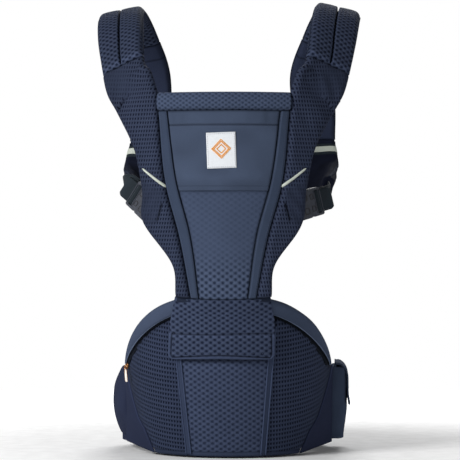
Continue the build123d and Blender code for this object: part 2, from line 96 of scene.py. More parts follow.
STRAP = (  # centre, direction of the width, width
    ((0.125, -0.202, 0.5142), (0.81, 0.58, 0), 0.084),
    ((0.138, -0.190, 0.532), (0.85, 0.52, -0.10), 0.073),
    ((0.146, -0.172, 0.558), (0.86, 0.44, -0.30), 0.069),
    ((0.153, -0.135, 0.599), (0.94, 0.30, -0.15), 0.067),
    ((0.158, -0.085, 0.629), (0.98, 0.12, -0.15), 0.066),
    ((0.160, -0.030, 0.640), (0.99, 0, -0.16), 0.066),
    ((0.156, 0.025, 0.632), (0.99, -0.06, -0.12), 0.066),
    ((0.145, 0.068, 0.603), (1, 0, 0), 0.067),
    ((0.133, 0.095, 0.562), (1, 0, 0), 0.068),
    ((0.129, 0.105, 0.510), (1, 0, 0), 0.064),
    ((0.126, 0.100, 0.460), (1, 0, 0), 0.061),
    ((0.129, 0.082, 0.424), (1, 0, 0), 0.064),
    ((0.133, 0.045, 0.402), (0.86, 0, 0.51), 0.056),
    ((0.140, 0.000, 0.386), (0.51, 0, 0.86), 0.050),
    ((0.143, -0.045, 0.379), (0.20, 0, 0.98), 0.044),
)
ARCH_FROM, BACK_FROM, TAIL_FROM, STRAP_END = 2, 7, 10, 14
SIDE_WEB, CHEST_WEB, WAIST_WEB, WEB_T = 0.032, 0.025, 0.038, 0.0018
BUCKLE_R, BUCKLE_X, BUCKLE_Z = 0.207, 0.108, 0.356
TAB_LENGTH, LOOP_LENGTH = 0.026, 0.028
SIDE_TILT = {"left": 38, "right": 15}
SIGN = {"left": -1, "right": 1}
CHEST_Z, WAIST_Z = 0.498, 0.069
CHEST_RUNS = ((-0.134, -0.0155, 0.1192), (0.010, 0.134, 0.1262))  # from x, to x, at y
DIMPLE_PITCH = (0.0115, 0.0081)  # the main mesh's repeat across and along
BELT_LOW, BELT_HIGH, BELT_HALF_TURN = 0.011, 0.115, 118
COVER_LOW, COVER_HIGH, COVER_FRONT_Y, COVER_BACK_Y = 0.010, 0.118, -0.066, 0.047  # of the left side cover
POCKET_FLAP_DROP = ((0.1695, 0.1200), (0.1738, 0.1100), (0.1745, 0.0930), (0.1752, 0.0780), (0.1775, 0.0655))
FLOOR_Z = -0.003
AMBIENT, KEY_POWER, FILL_POWER, BACK_POWER = 0.30, 98, 4, 45
CAMERA_AZIMUTH, CAMERA_HEIGHT, CAMERA_DISTANCE, VIEW_WIDTH = math.radians(2.5), 0.322, 3.2, 0.690
CAMERA_ASIDE = 0.0012


# ---- curves, noise and surfaces ------------------------------------------------------------------------
def ease(t):
    """A smooth step from 0 to 1."""
    t = np.clip(t, 0, 1)
    return t * t * (3 - 2 * t)


def roll(distance, radius, least=0.0):
    """How far a rounded edge has risen at a distance from it, from the least share to 1."""
    t = np.clip(distance / radius, 0, 1)
    return least + (1 - least) * np.sqrt(1 - (1 - t) ** 2)


def spread(count, ends=0.75):
    """Numbers from 0 to 1, closer together near both ends."""
    t = np.linspace(0, 1, count)
    return t - ends * np.sin(2 * np.pi * t) / (2 * np.pi)


def both_ways(count, ends=0.75):
    """Numbers from -1 to 1, closer together near both ends."""
    return spread(count, ends) * 2 - 1


def groove(distance, width):
    """1 on a sewn line and 0 away from it."""
    return np.exp(-((distance / width) ** 2))


def unit(vectors):
    """The vectors at length 1."""
    return vectors / np.linalg.norm(vectors, axis=-1, keepdims=True)


def run_length(points):
    """The length of a path up to each of its points."""
    return np.concatenate([[0], np.cumsum(np.linalg.norm(np.diff(points, axis=0), axis=1))])


def through(points, t):
    """A smooth curve through evenly numbered points, at the numbers t."""
    points = np.asarray(points, float)
    i = np.clip(np.floor(t).astype(int), 0, len(points) - 2)
    f = (t - i)[:, None]
    slope = np.gradient(points, axis=0)
    return (
        (2 * f**3 - 3 * f**2 + 1) * points[i]
        + (f**3 - 2 * f**2 + f) * slope[i]
        + (3 * f**2 - 2 * f**3) * points[i + 1]
        + (f**3 - f**2) * slope[i + 1]
    )


def edge_x(points, z):
    """The x of a smooth front-view edge at the heights z."""
    xs, zs = np.array(points, float).T
    z = np.asarray(z, float)
    i = np.clip(np.searchsorted(zs, z) - 1, 0, len(zs) - 2)
    step = zs[i + 1] - zs[i]
    f = (z - zs[i]) / step
    slope = np.gradient(xs, zs)
    return (
        (2 * f**3 - 3 * f**2 + 1) * xs[i]
        + (f**3 - 2 * f**2 + f) * step * slope[i]
        + (3 * f**2 - 2 * f**3) * xs[i + 1]
        + (f**3 - f**2) * step * slope[i + 1]
    )


def mottle(x, y, size, seed):
    """Smooth seeded noise from -1 to 1, with features of the given size."""
    table = np.random.default_rng(seed).uniform(-1, 1, (32, 32))
    gx, gy = np.asarray(x) / size + 7.3, np.asarray(y) / size + 3.1
    ix, iy = np.floor(gx).astype(int), np.floor(gy).astype(int)
    fx, fy = ease(gx - ix), ease(gy - iy)
    low = table[ix % 32, iy % 32] * (1 - fx) + table[(ix + 1) % 32, iy % 32] * fx
    high = table[ix % 32, (iy + 1) % 32] * (1 - fx) + table[(ix + 1) % 32, (iy + 1) % 32] * fx
    return low * (1 - fy) + high * fy


def smile(x, z):
    """How far the seam between panel and flap hangs down in the middle."""
    return -0.004 * np.clip(1 - (x / 0.070) ** 2, 0, 1) * np.exp(-(((z - SEAM_Z) / 0.030) ** 2))


def bent(x, z, radius):
    """Points on the bent body panel."""
    z = z + smile(x, z)
    return np.stack([x, PANEL_AXIS_Y - np.sqrt(radius**2 - x**2), z], -1)


def seat_axes(z, wider, deeper):
    """The half width and the depth of the seat's tapered front at the heights z, with an allowance on each."""
    return np.interp(z, SEAT_HEIGHTS, SEAT_A) + wider, np.interp(z, SEAT_HEIGHTS, SEAT_B) + deeper


def on_seat(x, z, grow=0.0, wider=None, back=0.0):
    """Points on the seat's front, from front-view places, grown outwards (by wider to the sides, if it is given) and
    moved back."""
    a, b = seat_axes(z, grow if wider is None else wider, grow)
    return np.stack([x, SEAT_Y - b * np.sqrt(np.clip(1 - (x / a) ** 2, 0, 1)) + back, z], -1)


def arch_height(arch, x):
    """The height of one of the seat's arches over x."""
    return VAULT_Z + arch[1] * np.clip(1 - np.abs(x / arch[0]) ** arch[2], 0, 1) ** arch[3]


class Grid:
    """A piece's base: points in rows from its low end to its high end and columns from left to right, with the
    metres of cloth across and along, the outward normals and the distance to each edge."""

    def __init__(self, base, across, along):
        self.base, self.across, self.along = base, across, along
        normal = np.cross(np.gradient(base, axis=1), np.gradient(base, axis=0))
        self.normal = unit(normal)
        steps = np.linalg.norm(np.diff(base, axis=1), axis=2)
        self.left = np.hstack([np.zeros((len(base), 1)), np.cumsum(steps, axis=1)])
        self.right = self.left[:, -1:] - self.left
        steps = np.linalg.norm(np.diff(base, axis=0), axis=2)
        self.low = np.vstack([np.zeros((1, base.shape[1])), np.cumsum(steps, axis=0)])
        self.high = self.low[-1:] - self.low
        self.sides, self.ends = np.minimum(self.left, self.right), np.minimum(self.low, self.high)

    def crown(self):
        """1 in the middle of the piece and 0 at its edges."""
        wide, long = self.left + self.right, self.low + self.high
        return 4 * self.left * self.right / wide**2 * (4 * self.low * self.high / long**2) ** 0.5


def panel_grid(left, right, low, high, columns, rows, radius=PANEL_R):
    """A grid on the body panel between two edges, given as functions of height."""
    z = low + spread(rows) * (high - low)
    from_left, to_right = left(z)[:, None], right(z)[:, None]
    x = from_left + spread(columns) * (to_right - from_left)
    z = np.repeat(z[:, None], columns, axis=1)
    return Grid(bent(x, z, radius), radius * np.arcsin(x / radius), z)


def strap_frame(t):
    """Centres, width directions, outward normals and half widths of the right strap at station numbers t."""
    shape = np.shape(t)
    t = np.ravel(t)
    centre = through([s[0] for s in STRAP], t)
    along = unit(through([s[0] for s in STRAP], t + 0.02) - through([s[0] for s in STRAP], t - 0.02))
    across = through([s[1] for s in STRAP], t)
    across = unit(across - (across * along).sum(1, keepdims=True) * along)
    width = through([[s[2]] for s in STRAP], t)[:, 0]
    centre, across, normal = (found.reshape(*shape, 3) for found in (centre, across, np.cross(across, along)))
    return centre, across, normal, width.reshape(shape) / 2


def strap_seam(u):
    """The station number of the slanted seam between wing and arch, from the inner edge, -1, to the outer, 1."""
    return ARCH_FROM - 0.08 - 0.095 * (1 - u)


def strap_grid(first, last, columns, rows, bow=0.0):
    """A grid along the right strap, from a seam given as a function of u to a station; bow bends its edges in."""
    u = np.asarray(columns)[None]
    share = spread(rows, 0.6)[:, None]
    t = first(u) * (1 - share) + last * share
    centre, across, normal, half = strap_frame(t)
    base = centre + across * (u * half)[..., None] - normal * (bow * u**2)[..., None]
    length = run_length(centre[:, len(columns) // 2])
    return Grid(base, u * half, length[:, None] + 0 * t)


# ---- materials -----------------------------------------------------------------------------------------
class Field:
    """A number that varies over a material, built from Math nodes with plain arithmetic."""

    def __init__(self, tree, socket):
        self.tree, self.socket = tree, socket

    def math(self, operation, *others):
        """A Math node on this number and the others."""
        node = self.tree.nodes.new("ShaderNodeMath")
        node.operation = operation
        for value, slot in zip((self, *others), node.inputs):
            if isinstance(value, Field):
                self.tree.links.new(value.socket, slot)
            else:
                slot.default_value = value
        return Field(self.tree, node.outputs[0])

    def __add__(self, other):
        return self.math("ADD", other)

    def __sub__(self, other):
        return self.math("SUBTRACT", other)

    def __mul__(self, other):
        return self.math("MULTIPLY", other)

    def __truediv__(self, other):
        return self.math("DIVIDE", other)

    def wave(self, pitch):
        """A sine from 0 to 1 that repeats every pitch."""
        return (self * (2 * math.pi / pitch)).math("SINE") * 0.5 + 0.5

    def cell(self, pitch):
        """The signed distance from the middle of evenly spaced cells."""
        return ((self / pitch).math("FRACT") - 0.5) * pitch

    def step(self, low, high):
        """0 up to low, 1 from high, smooth between; low may be the larger."""
        node = self.tree.nodes.new("ShaderNodeMapRange")
        node.interpolation_type = "SMOOTHSTEP"
        self.tree.links.new(self.socket, node.inputs["Value"])
        ends, values = sorted((low, high)), (0.0, 1.0) if low < high else (1.0, 0.0)
        node.inputs["From Min"].default_value, node.inputs["From Max"].default_value = ends
        node.inputs["To Min"].default_value, node.inputs["To Max"].default_value = values
        return Field(self.tree, node.outputs["Result"])


def noise(tree, scale, detail=2.0, squeeze=(1, 1, 1)):
    """Noise about 0.5 in the object's own metres."""
    place = tree.nodes.new("ShaderNodeTexCoord")
    mapping = tree.nodes.new("ShaderNodeMapping")
    mapping.inputs["Scale"].default_value = squeeze
    node = tree.nodes.new("ShaderNodeTexNoise")
    node.inputs["Scale"].default_value, node.inputs["Detail"].default_value = scale, detail
    tree.links.new(place.outputs["Object"], mapping.inputs["Vector"])
    tree.links.new(mapping.outputs["Vector"], node.inputs["Vector"])
    return Field(tree, node.outputs["Fac"])


def marked(tree, name):
    """A number that each piece carries on its points."""
    node = tree.nodes.new("ShaderNodeAttribute")
    node.attribute_name = name
    return Field(tree, node.outputs["Fac"])


def dimple_mesh(u, v):
    """Knit with staggered dimples between raised, slightly slanting ridges."""
    across, along = u * (2 * math.pi / DIMPLE_PITCH[0]), v * (2 * math.pi / DIMPLE_PITCH[1])
    lattice = across.math("COSINE") * along.math("COSINE") + (across * 2.0).math("COSINE") * 0.14 - 0.05
    dimple, ridge, slant = lattice.step(0.10, 0.78), lattice.step(0.15, -0.75), (across + along).math("SINE")
    knit = (u + v).wave(0.9 * MM) * (u - v).wave(0.9 * MM)
    height = ridge * 0.5 - dimple * 0.9 + slant * 0.08 + knit * 0.10
    # The tone paints highlights on the ridges and along the slant; the dark dimples are partly the mesh's darker
    # ground and partly painted shade.
    return height, ridge * 0.28 - dimple * 0.46 + slant * 0.09 + knit * 0.10 + 0.48


def square_mesh(pitch, hole, lean=0.0):
    """Spacer mesh with upright square holes in straight columns that may lean."""

    def weave(u, v):
        leaning = u + v * lean
        across = leaning.cell(pitch[0]).math("ABSOLUTE") / (hole[0] / 2)
        along = v.cell(pitch[1]).math("ABSOLUTE") / (hole[1] / 2)
        dark = across.math("MAXIMUM", along).step(1.35, 0.75)
        rib, row = leaning.wave(pitch[0]), v.wave(pitch[1])
        knit = (u + v).wave(0.8 * MM) * (u - v).wave(0.8 * MM)
        height = row * 0.2 + rib * 0.2 + knit * 0.1 - dark * 0.9
        return height, row * 0.12 + rib * 0.08 + knit * 0.08 - dark * 0.6 + 0.5

    return weave


def plain_weave(u, v):
    """A fine, dense plain weave."""
    over = u.wave(0.9 * MM) * v.wave(0.9 * MM)
    under = (u + 0.45 * MM).wave(0.9 * MM) * (v + 0.45 * MM).wave(0.9 * MM)
    thread = over + under
    return thread * 0.5, thread * 0.35 + 0.35


def webbing_weave(u, v):
    """Webbing: ribs along it, crossed by a fine herringbone."""
    rib = u.wave(2.2 * MM)
    bone = (u.cell(4.4 * MM).math("ABSOLUTE") + v).wave(1.3 * MM)
    return rib * 0.4 + bone * 0.4, rib * 0.25 + bone * 0.35 + 0.2


def zip_weave(u, v):
    """Zip tape: a tight rib across."""
    rib = v.wave(0.7 * MM)
    return rib * 0.5, rib * 0.3 + 0.3


def twisted_thread(u, v):
    """Sewing thread, twisted."""
    ply = (v + u * 0.8).wave(0.9 * MM)
    return ply * 0.5, ply * 0.4 + 0.3


def start_material(name):
    """A new material with its tree, its shader and the cloth's metres across and along."""
    material = bpy.data.materials.new(name)
    material.use_nodes = True
    tree = material.node_tree
    place = tree.nodes.new("ShaderNodeUVMap")
    place.uv_map = "cloth"
    split = tree.nodes.new("ShaderNodeSeparateXYZ")
    tree.links.new(place.outputs["UV"], split.inputs["Vector"])
    u, v = (Field(tree, split.outputs[axis]) for axis in ("X", "Y"))
    return material, tree, tree.nodes["Principled BSDF"], u, v


def paint(tree, shader, dark, light, tone, brightness, height, depth):
    """Colours the shader between dark and light by tone, scales it by brightness, and raises the bump."""
    mix = tree.nodes.new("ShaderNodeMix")
    mix.data_type, mix.clamp_factor = "RGBA", True
    tree.links.new(tone.socket, mix.inputs[0])
    mix.inputs[6].default_value, mix.inputs[7].default_value = (*dark, 1), (*light, 1)
    scale = tree.nodes.new("ShaderNodeVectorMath")
    scale.operation = "SCALE"
    tree.links.new(mix.outputs[2], scale.inputs[0])
    tree.links.new(brightness.socket, scale.inputs["Scale"])
    tree.links.new(scale.outputs[0], shader.inputs["Base Color"])
    bump = tree.nodes.new("ShaderNodeBump")
    bump.inputs["Strength"].default_value, bump.inputs["Distance"].default_value = 1.0, depth
    tree.links.new(height.socket, bump.inputs["Height"])
    tree.links.new(bump.outputs["Normal"], shader.inputs["Normal"])


def cloth(name, dark, light, weave, depth=0.35 * MM, rough=0.9, gloss=0.06, wear=0.10):
    """A fabric: its weave in colour and bump, soft mottling, and what each piece carries on its points: shade, which
    paints shade into seams, creases, under overlapping parts and on sides turned from the light and paints
    highlights on raised folds, cords and edges, and tight where the weave is drawn shut."""
    material, tree, shader, u, v = start_material(name)
    height, tone = weave(u, v)
    shade, tight = marked(tree, "shade"), marked(tree, "tight")
    tone, height = (tone - 0.5) * (tight * -1.0 + 1.0) + 0.5, height * (tight * -1.0 + 1.0)
    patches, fuzz = noise(tree, 28.0), noise(tree, 900.0, 3.0)
    brightness = shade + 1.0 + (patches - 0.5) * wear * 2 + (fuzz - 0.5) * 0.25
    paint(tree, shader, dark, light, tone, brightness.math("MAXIMUM", 0.05), height + fuzz * 0.25, depth)
    shader.inputs["Roughness"].default_value = rough
    shader.inputs["Specular IOR Level"].default_value = gloss
    return material


def moulded(name, dark, light, rough=0.42, metallic=0.0, grain=900.0):
    """Moulded plastic or cast metal with a fine grain and slight scuffs."""
    material, tree, shader, _, _ = start_material(name)
    fine, scuff = noise(tree, grain, 2.0), noise(tree, 120.0, 4.0, (1, 3, 1))
    paint(tree, shader, dark, light, scuff.step(0.35, 0.75), fine * 0.2 + 0.9, fine, 0.06 * MM)
    worn = scuff * 0.25 + (rough - 0.12)
    tree.links.new(worn.socket, shader.inputs["Roughness"])
    shader.inputs["Metallic"].default_value = metallic
    return material


WING_HOLES = square_mesh((3.9 * MM, 6.1 * MM), (1.7 * MM, 3.3 * MM), 0.17)
SEAT_HOLES = square_mesh((4.5 * MM, 6.3 * MM), (2.3 * MM, 3.1 * MM))
# One dimple mesh in three colourings: the panel's copy is lighter, a painted highlight for the lit front, and the
# straps' copy is darker, painted shade.
NAVY_MESH = cloth("navy_dimple_mesh", (0.008, 0.012, 0.028), (0.054, 0.071, 0.124), dimple_mesh, 0.9 * MM)
LIT_PANEL_MESH = cloth("lit_panel_dimple_mesh", (0.014, 0.021, 0.042), (0.072, 0.096, 0.160), dimple_mesh, 0.7 * MM)
SHADED_STRAP_MESH = cloth("shaded_strap_dimple_mesh", (0.005, 0.008, 0.019), (0.044, 0.057, 0.100), dimple_mesh, 1.1 * MM)
WING_MESH = cloth("wing_square_mesh", (0.005, 0.007, 0.017), (0.044, 0.057, 0.100), WING_HOLES, 0.5 * MM)
SEAT_MESH = cloth("seat_square_mesh", (0.003, 0.005, 0.013), (0.044, 0.058, 0.106), SEAT_HOLES, 0.7 * MM)
NAVY_WOVEN = cloth("navy_woven", (0.036, 0.050, 0.083), (0.054, 0.072, 0.117), plain_weave, 0.15 * MM)
STRIP_WOVEN = cloth("strip_woven", (0.026, 0.038, 0.066), (0.043, 0.058, 0.097), plain_weave, 0.15 * MM)
BACK_WOVEN = cloth("back_woven", (0.012, 0.016, 0.034), (0.029, 0.038, 0.070), plain_weave, 0.15 * MM)
DEEP_WOVEN = cloth("deep_navy_woven", (0.010, 0.013, 0.030), (0.024, 0.031, 0.062), plain_weave, 0.15 * MM)
# The tails' cloth is darkened to paint the deep shade they hang in.
SHADED_TAIL_WOVEN = cloth("shaded_tail_woven", (0.004, 0.005, 0.012), (0.011, 0.014, 0.028), plain_weave, 0.15 * MM)
RIM_WOVEN = cloth("rim_woven", (0.034, 0.046, 0.078), (0.052, 0.069, 0.114), plain_weave, 0.15 * MM)
BINDING = cloth("navy_binding", (0.014, 0.020, 0.040), (0.036, 0.048, 0.086), plain_weave, 0.12 * MM)
BRIGHT_BINDING = cloth("light_navy_binding", (0.070, 0.092, 0.146), (0.110, 0.142, 0.216), plain_weave, 0.12 * MM)
WEBBING = cloth("dark_webbing", (0.004, 0.007, 0.010), (0.020, 0.030, 0.040), webbing_weave, 0.3 * MM, 0.7, 0.15)
REFLECTIVE = cloth("reflective_tape", (0.34, 0.37, 0.32), (0.56, 0.60, 0.53), plain_weave, 0.08 * MM, 0.35, 0.4)
ZIP_TAPE = cloth("black_zip_tape", (0.002, 0.003, 0.005), (0.010, 0.013, 0.020), zip_weave, 0.2 * MM)
LABEL = cloth("label_white", (0.60, 0.62, 0.65), (0.74, 0.77, 0.80), plain_weave, 0.10 * MM, 0.6, 0.2, 0.02)
THREAD = cloth("navy_thread", (0.016, 0.022, 0.044), (0.056, 0.074, 0.126), twisted_thread, 0.1 * MM, 0.5, 0.2)
LABEL_THREAD = cloth("grey_thread", (0.24, 0.25, 0.30), (0.44, 0.45, 0.50), twisted_thread, 0.1 * MM, 0.5, 0.2)
ORANGE_THREAD = cloth("orange_thread", (0.72, 0.24, 0.00), (0.90, 0.40, 0.01), twisted_thread, 0.1 * MM, 0.5, 0.2)
LINING_CLOTH = cloth("lining_cloth", (0.012, 0.017, 0.034), (0.032, 0.042, 0.076), plain_weave, 0.2 * MM)
LOOP_PILE = cloth("loop_pile", (0.006, 0.008, 0.016), (0.022, 0.029, 0.052), dimple_mesh, 0.5 * MM, 0.95)
BUCKLE = moulded("buckle_plastic", (0.014, 0.018, 0.030), (0.028, 0.034, 0.052), 0.55)
# Dark plastic for the windows' frames: painted shadow in their recesses.
BUCKLE_PAINTED_SHADOW = moulded("buckle_shadow_plastic", (0.003, 0.003, 0.005), (0.008, 0.008, 0.012), 0.6)
ZIP_METAL = moulded("zip_metal", (0.30, 0.13, 0.05), (0.62, 0.34, 0.16), 0.30, 1.0)
PULL_RUBBER = moulded("zip_pull", (0.70, 0.62, 0.54), (0.92, 0.88, 0.82), 0.5)


def pale_floor(clear, full):
    """A pale floor that glows softly to white beyond the object, between two radii."""
    material = moulded("pale_floor", (0.84, 0.84, 0.84), (0.88, 0.88, 0.88), 0.9, 0.0, 40.0)
    tree = material.node_tree
    place = tree.nodes.new("ShaderNodeTexCoord")
    far = tree.nodes.new("ShaderNodeVectorMath")
    far.operation = "LENGTH"
    tree.links.new(place.outputs["Object"], far.inputs[0])
    glow = Field(tree, far.outputs["Value"]).step(clear, full)
    shader = tree.nodes["Principled BSDF"]
    shader.inputs["Emission Color"].default_value = (1, 1, 1, 1)
    tree.links.new((glow * 0.65).socket, shader.inputs["Emission Strength"])
    return material


FLOOR = pale_floor(0.25, 1.1)


# ---- mesh building -------------------------------------------------------------------------------------
def build(name, points, faces, corners, material, shade=0.0, tight=0.0):
    """An object from points and faces, with the cloth's metres at every face corner. A closed mesh that comes out
    inside out is turned."""
    points = np.asarray(points, float).reshape(-1, 3)
    triangles = [(f[0], f[k], f[k + 1]) for f in faces for k in range(1, len(f) - 1)]
    first, second, third = points[triangles].swapaxes(0, 1)
    if (first * np.cross(second, third)).sum() < 0:
        faces, corners = [f[::-1] for f in faces], [c[::-1] for c in corners]
    mesh = bpy.data.meshes.new(name)
    mesh.from_pydata([tuple(p) for p in points], [], faces)
    mesh.uv_layers.new(name="cloth").data.foreach_set("uv", np.concatenate(corners).ravel())
    mesh.polygons.foreach_set("use_smooth", [True] * len(faces))
    for mark, value in (("shade", shade), ("tight", tight)):
        values = np.broadcast_to(np.asarray(value, float).ravel() if np.ndim(value) else value, len(points))
        mesh.attributes.new(mark, "FLOAT", "POINT").data.foreach_set("value", values)
    mesh.materials.append(material)
    mesh.update()
    piece = bpy.data.objects.new(name, mesh)
    bpy.context.scene.collection.objects.link(piece)
    return piece


def ring_faces(rings, uv, closed=False):
    """Faces and their corners for a skin over rings[i, j]. uv has a column more than rings, and a row more where
    the rings themselves run round in a circle. The ends of an open skin are filled."""
    n, m = rings.shape[:2]
    faces, corners = [], []
    for i in range(n if closed else n - 1):
        for j in range(m):
            i2, j2 = (i + 1) % n, (j + 1) % m
            faces.append([i * m + j, i * m + j2, i2 * m + j2, i2 * m + j])
            corners.append(np.array([uv[i, j], uv[i, j + 1], uv[i + 1, j + 1], uv[i + 1, j]]))
    if not closed:
        for i in (0, n - 1):
            for j in range(m // 2):
                ring = list(dict.fromkeys([j, j + 1, m - 1 - j, (m - j) % m]))
                if i == 0:
                    ring = ring[::-1]
                faces.append([i * m + k for k in ring])
                corners.append(np.array([uv[i, k] for k in ring]))
    return faces, corners


def place(piece, body, slot, *nodes):
    """Sets what a piece rides on and hides the CAD nodes it stands for; slot is not used."""
    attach(piece, body)
    if nodes:
        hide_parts(*nodes)
    return piece


def place_soft(piece, fill, body, slot, *nodes):
    """Places a stuffed piece; fill, how full it is, is not used."""
    place(piece, body, slot, *nodes)
    return piece


def pad(name, grid, rise, sink, material, shade=0.0, mirrored=False, tight=0.0):
    """A stuffed piece, which rises from the grid in front, sinks from it behind and closes at its sides."""
    rise, sink = rise * np.ones(grid.base.shape[:2]), sink * np.ones(grid.base.shape[:2])
    front = grid.base + grid.normal * rise[..., None]
    back = grid.base - grid.normal * sink[..., None]
    front[:, [0, -1]] = grid.base[:, [0, -1]]
    rings = np.concatenate([front, back[:, -2:0:-1]], axis=1)
    if mirrored:
        rings = rings * (-1, 1, 1)
    metres = np.stack([grid.across, grid.along], -1)
    uv = np.concatenate([metres, metres[:, -2::-1]], axis=1)
    marks = [value * np.ones(grid.base.shape[:2]) for value in (shade, tight)]
    shade, tight = (np.concatenate([value, value[:, -2:0:-1]], axis=1) for value in marks)
    faces, corners = ring_faces(rings, uv)
    return build(name, rings, faces, corners, material, shade, tight)


def round_section(radius, flat=1.0, sides=10):
    """A circle or ellipse, as (across, up)."""
    turn = 2 * np.pi * np.arange(sides) / sides
    return np.stack([np.cos(turn) * radius, np.sin(turn) * radius * flat], -1)


def tape_section(width, thick):
    """A flat tape with rounded edges, as (across, up)."""
    w, t = width / 2, thick / 2
    edge = [(w - 4 * t, t), (w - 1.4 * t, t), (w - 0.4 * t, 0.7 * t), (w, 0)]
    right = edge + [(x, -y) for x, y in edge[-2::-1]]
    return np.array(right + [(-x, -y) for x, y in right])


def bulged(wave, power):
    """A sine or cosine with its size raised to a power: below 1, it turns a circle into a rounded rectangle."""
    return np.sign(wave) * np.abs(wave) ** power


def superellipse(width, height, power, sides=24):
    """A rounded rectangle, as (across, up)."""
    turn = 2 * np.pi * np.arange(sides) / sides
    return np.stack([bulged(np.cos(turn), 2 / power) * width / 2, bulged(np.sin(turn), 2 / power) * height / 2], -1)


def sweep(name, path, up, section, material, closed=False, shade=0.0, swell=None):
    """A section carried along a path, its second axis kept towards up. swell scales it from place to place."""
    path = np.asarray(path, float)
    up = np.broadcast_to(np.asarray(up, float), path.shape)
    if closed:
        along = np.roll(path, -1, axis=0) - np.roll(path, 1, axis=0)
    else:
        along = np.gradient(path, axis=0)
    across = unit(np.cross(along, up))
    up = unit(np.cross(across, along))
    size = np.ones((len(path), 1)) if swell is None else np.asarray(swell).reshape(len(path), -1)
    spots = section[None] * size[:, None]
    rings = path[:, None] + across[:, None] * spots[..., :1] + up[:, None] * spots[..., 1:]
    girth = run_length(np.vstack([section, section[:1]]))
    length = run_length(np.vstack([path, path[:1]]) if closed else path)
    uv = np.stack(np.broadcast_arrays(girth[None], length[:, None]), -1)
    faces, corners = ring_faces(rings, uv, closed)
    marks = np.broadcast_to(np.asarray(shade, float), (len(path),))[:, None] * np.ones(len(section))
    return build(name, rings, faces, corners, material, marks)


def join(name, pieces):
    """Several built pieces made one object, such as the two halves of a symmetrical trim."""
    first = pieces[0]
    with bpy.context.temp_override(active_object=first, selected_editable_objects=pieces):
        bpy.ops.object.join()
    first.name = first.data.name = name
    return first


def evenly(path, pitch):
    """The path's points again, a pitch apart."""
    length = run_length(path)
    at = np.linspace(0, length[-1], max(3, round(length[-1] / pitch) + 1))
    return np.stack([np.interp(at, length, path[:, k]) for k in range(3)], -1)


def normals_near(path, normals, spaced):
    """The path's normals at the spaced points."""
    return normals[[np.argmin(((path - spot) ** 2).sum(1)) for spot in spaced]]


def on_surface(piece, path, outward):
    """The path dropped onto a piece from outside, with the surface's normals there."""
    tree = BVHTree.FromObject(piece, bpy.context.evaluated_depsgraph_get())
    outward = np.broadcast_to(np.asarray(outward, float), path.shape)
    spots, normals = [], []
    for point, out in zip(path, outward):
        hit = tree.ray_cast(Vector(point + out * 0.03), Vector(-out), 0.06)
        if hit[0] is None:
            hit = tree.find_nearest(Vector(point))
        normal = Vector(hit[1])
        spots.append(hit[0])
        normals.append(normal if normal.dot(Vector(out)) > 0 else -normal)
    return np.array(spots), np.array(normals)


def build_beads(name, beads, material):
    """One mesh of many small solids, each given as six-sided rings and the cloth's metres along them."""
    points, faces, corners = [], [], []
    for rings, along in beads:
        metres = np.stack(np.meshgrid(np.linspace(0, 2 * MM, rings.shape[1] + 1), along), -1)
        new_faces, new_corners = ring_faces(rings, metres)
        faces += [[k + len(points) for k in face] for face in new_faces]
        corners += new_corners
        points += list(rings.reshape(-1, 3))
    return build(name, points, faces, corners, material)


def stitches(name, runs, body, slot, material=None, pitch=3.4 * MM, length=2.3 * MM, radius=0.33 * MM):
    """Rows of single stitches. Each run is a path on a surface with its normals."""
    section = round_section(1.0, sides=6)
    shape = ((-0.5, 0.25, -0.9), (-0.36, 0.9, 0.1), (0.0, 1.0, 0.45), (0.36, 0.9, 0.1), (0.5, 0.25, -0.9))
    beads = []
    for path, normals in runs:
        spaced = evenly(path, pitch)
        normals = normals_near(path, normals, spaced)
        along = unit(np.gradient(spaced, axis=0))
        across = unit(np.cross(along, normals))
        for centre, forward, side, out in zip(spaced, along, across, normals):
            rings = np.array([
                centre + forward * at * length + out * radius * lift
                + (side * section[:, :1] + out * section[:, 1:]) * radius * size
                for at, size, lift in shape
            ])
            beads.append((rings, np.linspace(0, length, len(shape))))
    return place(build_beads(name, beads, material or THREAD), body, slot)


# ---- cloth ---------------------------------------------------------------------------------------------
SWELL_PRESSURE, SWELL_STEPS = 4.0, 20


def coordinates(mesh):
    """A mesh's points."""
    found = np.zeros(len(mesh.vertices) * 3)
    mesh.vertices.foreach_get("co", found)
    return found.reshape(-1, 3)


def set_coordinates(mesh, points):
    """Moves a mesh's points."""
    mesh.vertices.foreach_set("co", np.asarray(points, float).ravel())
    mesh.update()


def vertex_normals(mesh):
    """The normals at a mesh's points."""
    found = np.zeros(len(mesh.vertices) * 3)
    mesh.vertex_normals.foreach_get("vector", found)
    return found.reshape(-1, 3)


def applied(piece):
    """Applies the piece's modifiers."""
    done = bpy.data.meshes.new_from_object(piece.evaluated_get(bpy.context.evaluated_depsgraph_get()))
    piece.modifiers.clear()
    piece.data = done
    return piece


def inflate(piece, cap):
    """Swells a closed piece with Blender's cloth, no point by more than cap."""
    before = coordinates(piece.data)
    swell = piece.modifiers.new("swell", "CLOTH")
    swell.settings.use_pressure = True
    swell.settings.uniform_pressure_force = SWELL_PRESSURE
    swell.settings.effector_weights.gravity = 0
    swell.settings.quality = 5
    swell.point_cache.frame_end = SWELL_STEPS
    for step in range(1, SWELL_STEPS + 1):
        bpy.context.scene.frame_set(step)
    puffed = piece.evaluated_get(bpy.context.evaluated_depsgraph_get()).data
    moved = coordinates(puffed) - before
    piece.modifiers.clear()
    far = np.linalg.norm(moved, axis=1, keepdims=True)
    set_coordinates(piece.data, before + moved * np.minimum(1, cap / np.maximum(far, 1e-9)))
    bpy.context.scene.frame_set(1)
    return piece


